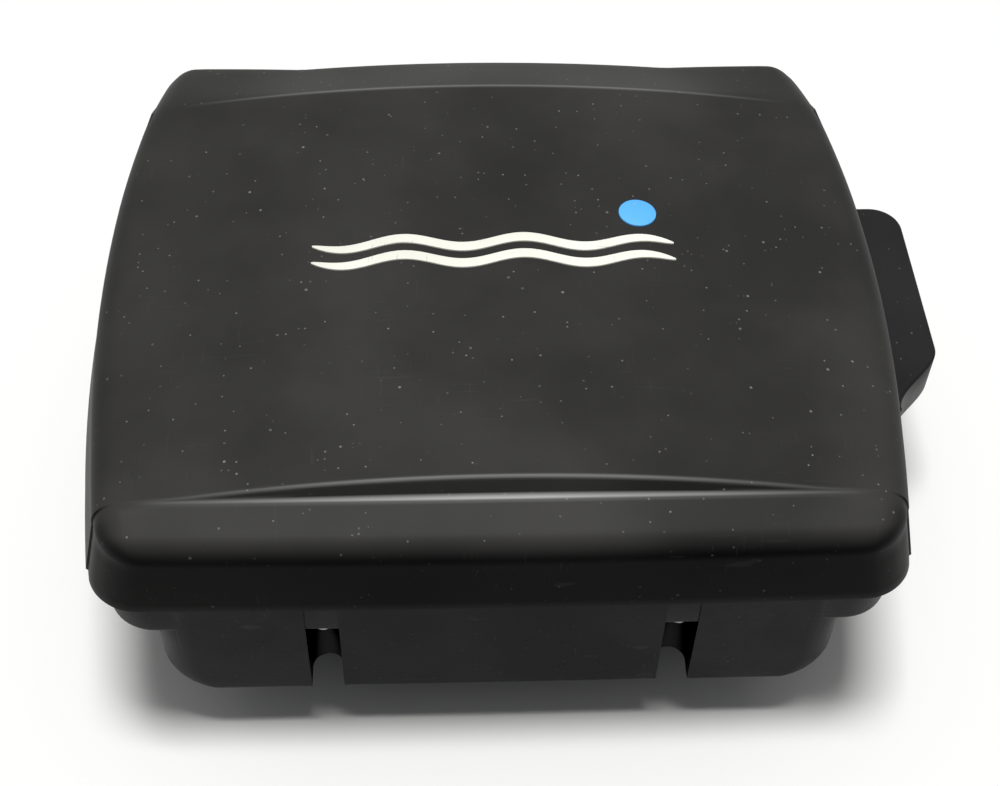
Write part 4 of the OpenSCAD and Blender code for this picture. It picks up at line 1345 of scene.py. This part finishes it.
@dataclass
class CardDoor:
    """The hollow cap over the card slot, square at its far end and swept at its near end."""

    low: Vector
    high: Vector
    wall: float = 1.5
    corner: float = 6.0
    sweep: float = 15.0
    tip_x: float = 75.6

    def outline(self, inset: float) -> list[Point]:
        """Gives the door's outline moved in by a distance.

        Args:
            inset: The distance.

        Returns:
            The outline, clockwise from the case at the far end.
        """
        out, far = self.high.x - inset, self.high.y - inset
        r = self.corner - inset
        turn_y = self.low.y + self.sweep + inset
        tip = self.tip_x - inset
        face = self.low.x - (1 if inset else 0)
        points = [(face, far), *arc((out - r, far - r), r, 90, 0, 10)]
        for i in range(25):
            t = i / 24
            points.append((out - (out - tip) * t * t * (3 - 2 * t), turn_y - self.sweep * t))
        points.append((face, self.low.y + inset))
        return points

    def mesh(self) -> bmesh.types.BMesh:
        """Builds the door.

        Returns:
            The closed solid.
        """
        shell = prism(self.outline(0), self.low.z, self.high.z)
        outer = [e for e in level_edges(shell, self.high.z, lambda c: c.x > self.low.x + 0.2)]
        round_edges(shell, outer, 1.1, 4)
        outer = [e for e in level_edges(shell, self.low.z, lambda c: c.x > self.low.x + 0.2)]
        round_edges(shell, outer, 0.8, 3)
        inside = prism(self.outline(self.wall), self.low.z + self.wall, self.high.z - self.wall)
        pin_low, pin_high = node_box("door_hinge_pin")
        pin = (pin_low + pin_high) / 2
        along = Matrix.Translation((pin.x, 0, pin.z)) @ Matrix.Rotation(-math.pi / 2, 4, "X")
        steps = [
            (Cut.TAKE, inside),
            (Cut.TAKE, block((self.low.x - 2, self.low.y - 1, self.low.z - 1),
                             (pin.x - 1.1, self.high.y + 1, self.low.z + self.wall))),
        ]
        for y in LUG_STARTS:
            start = y + LUG_WIDTH + LUG_GAP
            steps.append((Cut.TAKE, block((self.low.x - 1, y - LUG_GAP, self.low.z - 1),
                                          (pin.x + 3.4, start, self.low.z + self.wall + 0.01))))
            steps.append((Cut.ADD, moved(drum(LUG_R, start, start + LUG_WIDTH, 0.2, 32), along)))
        steps.append((Cut.TAKE, moved(drum(0.95, pin_low.y, pin_high.y + 0.2), along)))
        return carve(shell, steps)

    def build(self, shop: Workshop) -> None:
        """Makes the door."""
        shop.hand_over(self.mesh(), "card_door_cap", "door", "case_plastic", ["card_door"], crease=30)


# ---------- keys and rocker ----------


class Icon(Enum):
    """Generic signs on the keys."""

    MINUS = "minus"
    PLUS = "plus"
    HOUSE = "house"
    LINES = "lines"
    TICK = "tick"
    PIN = "pin"
    POWER = "power"


def stroke(points: Sequence[Point], width: float, height: float) -> list[bmesh.types.BMesh]:
    """Draws a raised line through points, with round joints.

    Args:
        points: The line's points.
        width: Its width.
        height: Its thickness.

    Returns:
        One solid for each stretch.
    """
    parts = []
    for (x0, y0), (x1, y1) in zip(points, points[1:]):
        length = math.hypot(x1 - x0, y1 - y0)
        bar = soft_prism(round_rect(length + width, width, width / 2 - 0.01, steps=4), 0, height, top=height * 0.4,
                         steps=2)
        turn = Matrix.Rotation(math.atan2(y1 - y0, x1 - x0), 4, "Z")
        parts.append(shifted(moved(bar, turn), (x0 + x1) / 2, (y0 + y1) / 2))
    return parts


ICON_STROKES: dict[Icon, list[list[Point]]] = {
    Icon.MINUS: [[(-1.6, 0), (1.6, 0)]],
    Icon.PLUS: [[(-1.6, 0), (1.6, 0)], [(0, -1.6), (0, 1.6)]],
    Icon.HOUSE: [[(-2, 0), (0, 1.8), (2, 0)], [(-1.3, 0.4), (-1.3, -1.6), (1.3, -1.6), (1.3, 0.4)]],
    Icon.LINES: [[(-1.8, y), (1.8, y)] for y in (-1.3, 0, 1.3)],
    Icon.TICK: [[(-1.6, 0), (-0.4, -1.3), (1.8, 1.5)]],
    Icon.PIN: [[(0, -2), (-1.2, 0.2)], [(0, -2), (1.2, 0.2)], arc((0, 0.8), 1.3, -30, 210, 12)],
    Icon.POWER: [arc((0, -0.2), 1.9, 60, -240, 18), [(0, 0.2), (0, 2.2)]],
}


@dataclass
class Controls:
    """The keys and the rocker pad."""

    rounding: float = 0.7
    print_height: float = 0.12
    print_width: float = 0.5

    def key(self, node: str) -> bmesh.types.BMesh:
        """Makes one key with its retaining lip.

        Args:
            node: The CAD node it stands for.

        Returns:
            The key.
        """
        low, high = node_box(node)
        centre = (low + high) / 2
        width, height = high.x - low.x - 2, high.y - low.y - 2
        radius = min(3.5, height / 2 - 0.01) if width > height + 1 else width / 2 - 0.01
        steps = 8 if width > height + 1 else 12
        cap = soft_prism(round_rect(width, height, radius, steps=steps), low.z + 0.4, high.z, top=self.rounding, steps=4)
        lip = soft_prism(round_rect(width + 2, height + 2, radius + 1, steps=steps), low.z, low.z + 0.8, top=0.15,
                         bottom=0.15)
        return shifted(carve(cap, [(Cut.ADD, lip)]), centre.x, centre.y)

    def icon(self, node: str, icon: Icon) -> bmesh.types.BMesh:
        """Makes the sign on a key."""
        centre = middle(node)
        high = node_box(node)[1]
        parts = []
        for line in ICON_STROKES[icon]:
            parts += stroke(line, self.print_width, self.print_height)
        return shifted(merged(parts), centre.x, centre.y, high.z - 0.01)

    def rocker(self) -> bmesh.types.BMesh:
        """Makes the dished rocker pad with its ball socket."""
        low, high = node_box("rocker_pad")
        centre = (low + high) / 2
        r = (high.x - low.x) / 2
        ball = middle("rocker_post")
        socket = arc((0, ball.z), 2.1, 0, 90, 10)
        profile = [(2.1, low.z), *socket[:-1], (0, ball.z + 2.1)]
        dish = [(x, high.z - 0.8 + 0.8 * (x / (r - 1)) ** 2) for x in (0, 2, 4, 6, 8, 10, 11.5, 12.4)]
        rim = arc((r - 0.8, high.z - 0.8), 0.8, 80, 0, 5)
        skirt = [(r, low.z + 0.3), (r - 0.3, low.z)]
        bm = bmesh.new()
        ring = profile[::-1]
        loop = dish[:-1] + rim + skirt
        verts = [bm.verts.new((x, 0, z)) for x, z in loop + ring[::-1]]
        edges = [bm.edges.new(pair) for pair in zip(verts, verts[1:])]
        bmesh.ops.spin(bm, geom=verts + edges, cent=(0, 0, 0), axis=(0, 0, 1), dvec=(0, 0, 0), angle=math.tau,
                       steps=72, use_merge=True)
        bmesh.ops.remove_doubles(bm, verts=bm.verts, dist=1e-4)
        bmesh.ops.recalc_face_normals(bm, faces=bm.faces)
        return shifted(bm, centre.x, centre.y)

    def arrows(self) -> bmesh.types.BMesh:
        """Makes the four direction marks on the rocker."""
        low, high = node_box("rocker_pad")
        centre = (low + high) / 2
        parts = []
        for turn in range(4):
            for part in stroke([(-1.3, 9.6), (0, 10.9), (1.3, 9.6)], self.print_width, 0.3):
                parts.append(moved(part, Matrix.Rotation(turn * math.pi / 2, 4, "Z")))
        return shifted(merged(parts), centre.x, centre.y, high.z - 0.45)

    def build(self, shop: Workshop) -> None:
        """Makes all the keys, their signs and the rocker."""
        icons = {"zoom_out": Icon.MINUS, "zoom_in": Icon.PLUS, "home": Icon.HOUSE, "menu": Icon.LINES,
                 "select": Icon.TICK, "mark": Icon.PIN, "power": Icon.POWER}
        for body, icon in icons.items():
            node = f"key_{body}"
            shop.hand_over(self.key(node), f"{body}_key_cap", body, "key_rubber", [node], crease=40)
            shop.hand_over(self.icon(node, icon), f"{body}_key_sign", body, "key_rubber", print_slot="key_print")
        shop.hand_over(self.rocker(), "rocker_cap", "rocker", "key_rubber", ["rocker_pad"], crease=40)
        shop.hand_over(self.arrows(), "rocker_arrows", "rocker", "key_rubber", print_slot="key_print")


# ---------- lens, plugs and small parts ----------


@dataclass
class Fittings:
    """The lens, the plug collars and the small parts that show."""

    collar_r: float = 7.5
    socket_r: float = 6.2
    flange_r: float = 9.2

    def lens(self) -> bmesh.types.BMesh:
        """Makes the display window with polished edges."""
        low, high = node_box("display_lens")
        centre = (low + high) / 2
        outline = round_rect(high.x - low.x, high.y - low.y, 3.85, (centre.x, centre.y), 10)
        return soft_prism(outline, low.z, high.z, top=0.35, bottom=0.15)

    def border(self) -> bmesh.types.BMesh:
        """Makes the dark printed border behind the lens."""
        low, high = node_box("lens_tape")
        centre = (low + high) / 2
        at = (centre.x, centre.y)
        outer = prism(round_rect(high.x - low.x, high.y - low.y, 3.6, at), low.z + 0.02, high.z - 0.02)
        window = prism(round_rect(63.0, 82.0, 1.5, at), low.z - 1, high.z + 1)
        return carve(outer, [(Cut.TAKE, window)])

    def collar(self, node: str) -> bmesh.types.BMesh:
        """Makes one plug collar: a threaded-looking barrel with a key slot.

        Args:
            node: The CAD node it stands for.

        Returns:
            The collar.
        """
        low, high = node_box(node)
        centre = (low + high) / 2
        tip, out, inner = low.z, self.collar_r, self.socket_r
        profile = [(inner, tip + 0.3), (inner + 0.3, tip), (out - 0.4, tip), (out, tip + 0.4)]
        for ring in range(4):
            z = tip + 1.6 + ring * 1.4
            profile += [(out, z), (out - 0.3, z + 0.25), (out - 0.3, z + 0.45), (out, z + 0.7)]
        profile += [(out, 12.8), (self.flange_r - 0.3, 12.8), (self.flange_r, 13.1), (self.flange_r, 13.6),
                    (6.8, 13.6), (6.8, high.z), (inner, high.z)]
        bm = lathe(profile, 72)
        slot = block((-0.9, -out - 1, tip - 1), (0.9, -inner + 0.6, tip + 2.4))
        return shifted(carve(bm, [(Cut.TAKE, slot)]), centre.x, centre.y)

    def card(self) -> bmesh.types.BMesh:
        """Makes the memory card: a notched slab with a grip ridge and a label recess."""
        low, high = node_box("memory_card")
        outline = [(low.x, low.y), (high.x, low.y), (high.x, high.y), (low.x + 4, high.y), (low.x, high.y - 4)]
        bm = soft_prism(outline, low.z, high.z, top=0.25, bottom=0.25)
        recess = block((low.x + 5, low.y + 2.5, high.z - 0.2), (high.x - 3, high.y - 2.5, high.z + 1))
        grooves = [(Cut.TAKE, block((high.x - 2.2 + 0.8 * i, low.y + 4, high.z - 0.25),
                                    (high.x - 1.9 + 0.8 * i, high.y - 4, high.z + 1))) for i in range(2)]
        return carve(bm, [(Cut.TAKE, recess), *grooves])

    def build(self, shop: Workshop) -> None:
        """Makes the fittings."""
        shop.hand_over(self.lens(), "display_window", "unit", "lens_glass", ["display_lens"])
        shop.hand_over(self.border(), "window_border", "unit", "lens_tape", ["lens_tape"])
        for name in ("power", "transducer", "network"):
            node = f"{name}_connector"
            shop.hand_over(self.collar(node), f"{name}_collar", "unit", "connector_plastic", [node], crease=35)
        shop.hand_over(self.card(), "card_slab", "card", "card_plastic", ["memory_card"])


# ---------- room, light and camera ----------


@dataclass
class Studio:
    """A plain pale floor, soft light from above and the camera."""

    floor_half: float = 2.0
    floor_colour: Colour = (0.80, 0.80, 0.785)
    eye: tuple[float, float, float] = (-0.01073, -0.2122, 0.26965)
    down: float = 49.457
    yaw: float = 3.43
    roll: float = 1.833
    lens: float = 58.58

    def floor(self) -> None:
        """Lays the floor under the part."""
        bm = bmesh.new()
        bmesh.ops.create_grid(bm, x_segments=1, y_segments=1, size=self.floor_half / MM)
        floor = as_object(bm, "floor")
        material = bpy.data.materials.new("floor_paper")
        material.use_nodes = True
        shader = material.node_tree.nodes["Principled BSDF"]
        shader.inputs["Base Color"].default_value = (*self.floor_colour, 1)
        shader.inputs["Roughness"].default_value = 0.9
        shader.inputs["Specular IOR Level"].default_value = 0.1
        floor.data.materials.append(material)

    def lamp(self, name: str, at: Sequence[float], aim: Sequence[float], size: Point, power: float) -> None:
        """Hangs a rectangular lamp.

        Args:
            name: Its name.
            at: Where it hangs, in metres.
            aim: Where it points.
            size: Its width and height.
            power: Its power in watts.
        """
        data = bpy.data.lights.new(name, "AREA")
        data.shape = "RECTANGLE"
        data.size, data.size_y = size
        data.energy = power
        lamp = bpy.data.objects.new(name, data)
        lamp.location = at
        lamp.rotation_euler = (Vector(aim) - Vector(at)).to_track_quat("-Z", "Y").to_euler()
        bpy.context.scene.collection.objects.link(lamp)

    def lights(self) -> None:
        """Hangs the lamps and sets the room's own light."""
        self.lamp("key", (-0.03, -0.12, 1.5), (0, 0, 0), (0.45, 0.32), 22.0)
        self.lamp("overhead", (0.0, 0.3, 1.3), (0, 0, 0), (2.2, 1.2), 4.0)
        self.lamp("rear_fill", (0.0, 1.6, 0.6), (0, 0, 0.05), (2.6, 1.0), 3.0)
        world = bpy.data.worlds.new("room")
        world.use_nodes = True
        back = world.node_tree.nodes["Background"]
        back.inputs["Color"].default_value = (0.97, 0.98, 1.0, 1)
        back.inputs["Strength"].default_value = 0.2
        bpy.context.scene.world = world
        view = bpy.context.scene.view_settings
        view.view_transform = "Standard"
        view.use_curve_mapping = True
        view.curve_mapping.black_level = (0.006, 0.006, 0.006)

    def camera(self) -> None:
        """Places the camera."""
        down, yaw, roll = (math.radians(a) for a in (self.down, self.yaw, self.roll))
        ahead = Vector((math.sin(yaw) * math.cos(down), math.cos(yaw) * math.cos(down), -math.sin(down)))
        right = Vector((math.cos(yaw), -math.sin(yaw), 0))
        up = right.cross(ahead)
        turned_right = right * math.cos(roll) + up * math.sin(roll)
        turned_up = up * math.cos(roll) - right * math.sin(roll)
        data = bpy.data.cameras.new("camera")
        data.sensor_width = 36
        data.lens = self.lens
        data.clip_start = 0.01
        camera = bpy.data.objects.new("camera", data)
        turn = Matrix((turned_right, turned_up, -ahead)).transposed().to_4x4()
        camera.matrix_world = Matrix.Translation(self.eye) @ turn
        bpy.context.scene.collection.objects.link(camera)
        bpy.context.scene.camera = camera

    def build(self) -> None:
        """Sets up the whole room."""
        self.floor()
        self.lights()
        self.camera()


def main() -> None:
    """Builds the room and every piece, in order."""
    logging.basicConfig(level=logging.INFO, format="%(name)s: %(message)s")
    Studio().build()
    shop = Workshop()
    shop.dress_frame()
    low, high = node_box("sun_cover")
    plan = Plan(high.x - low.x, high.y - low.y)
    SunCover(low, high).build(shop)
    RearCase(plan).build(shop)
    CardDoor(*node_box("card_door")).build(shop)
    Controls().build(shop)
    Fittings().build(shop)


if __name__ == "__main__":
    main()
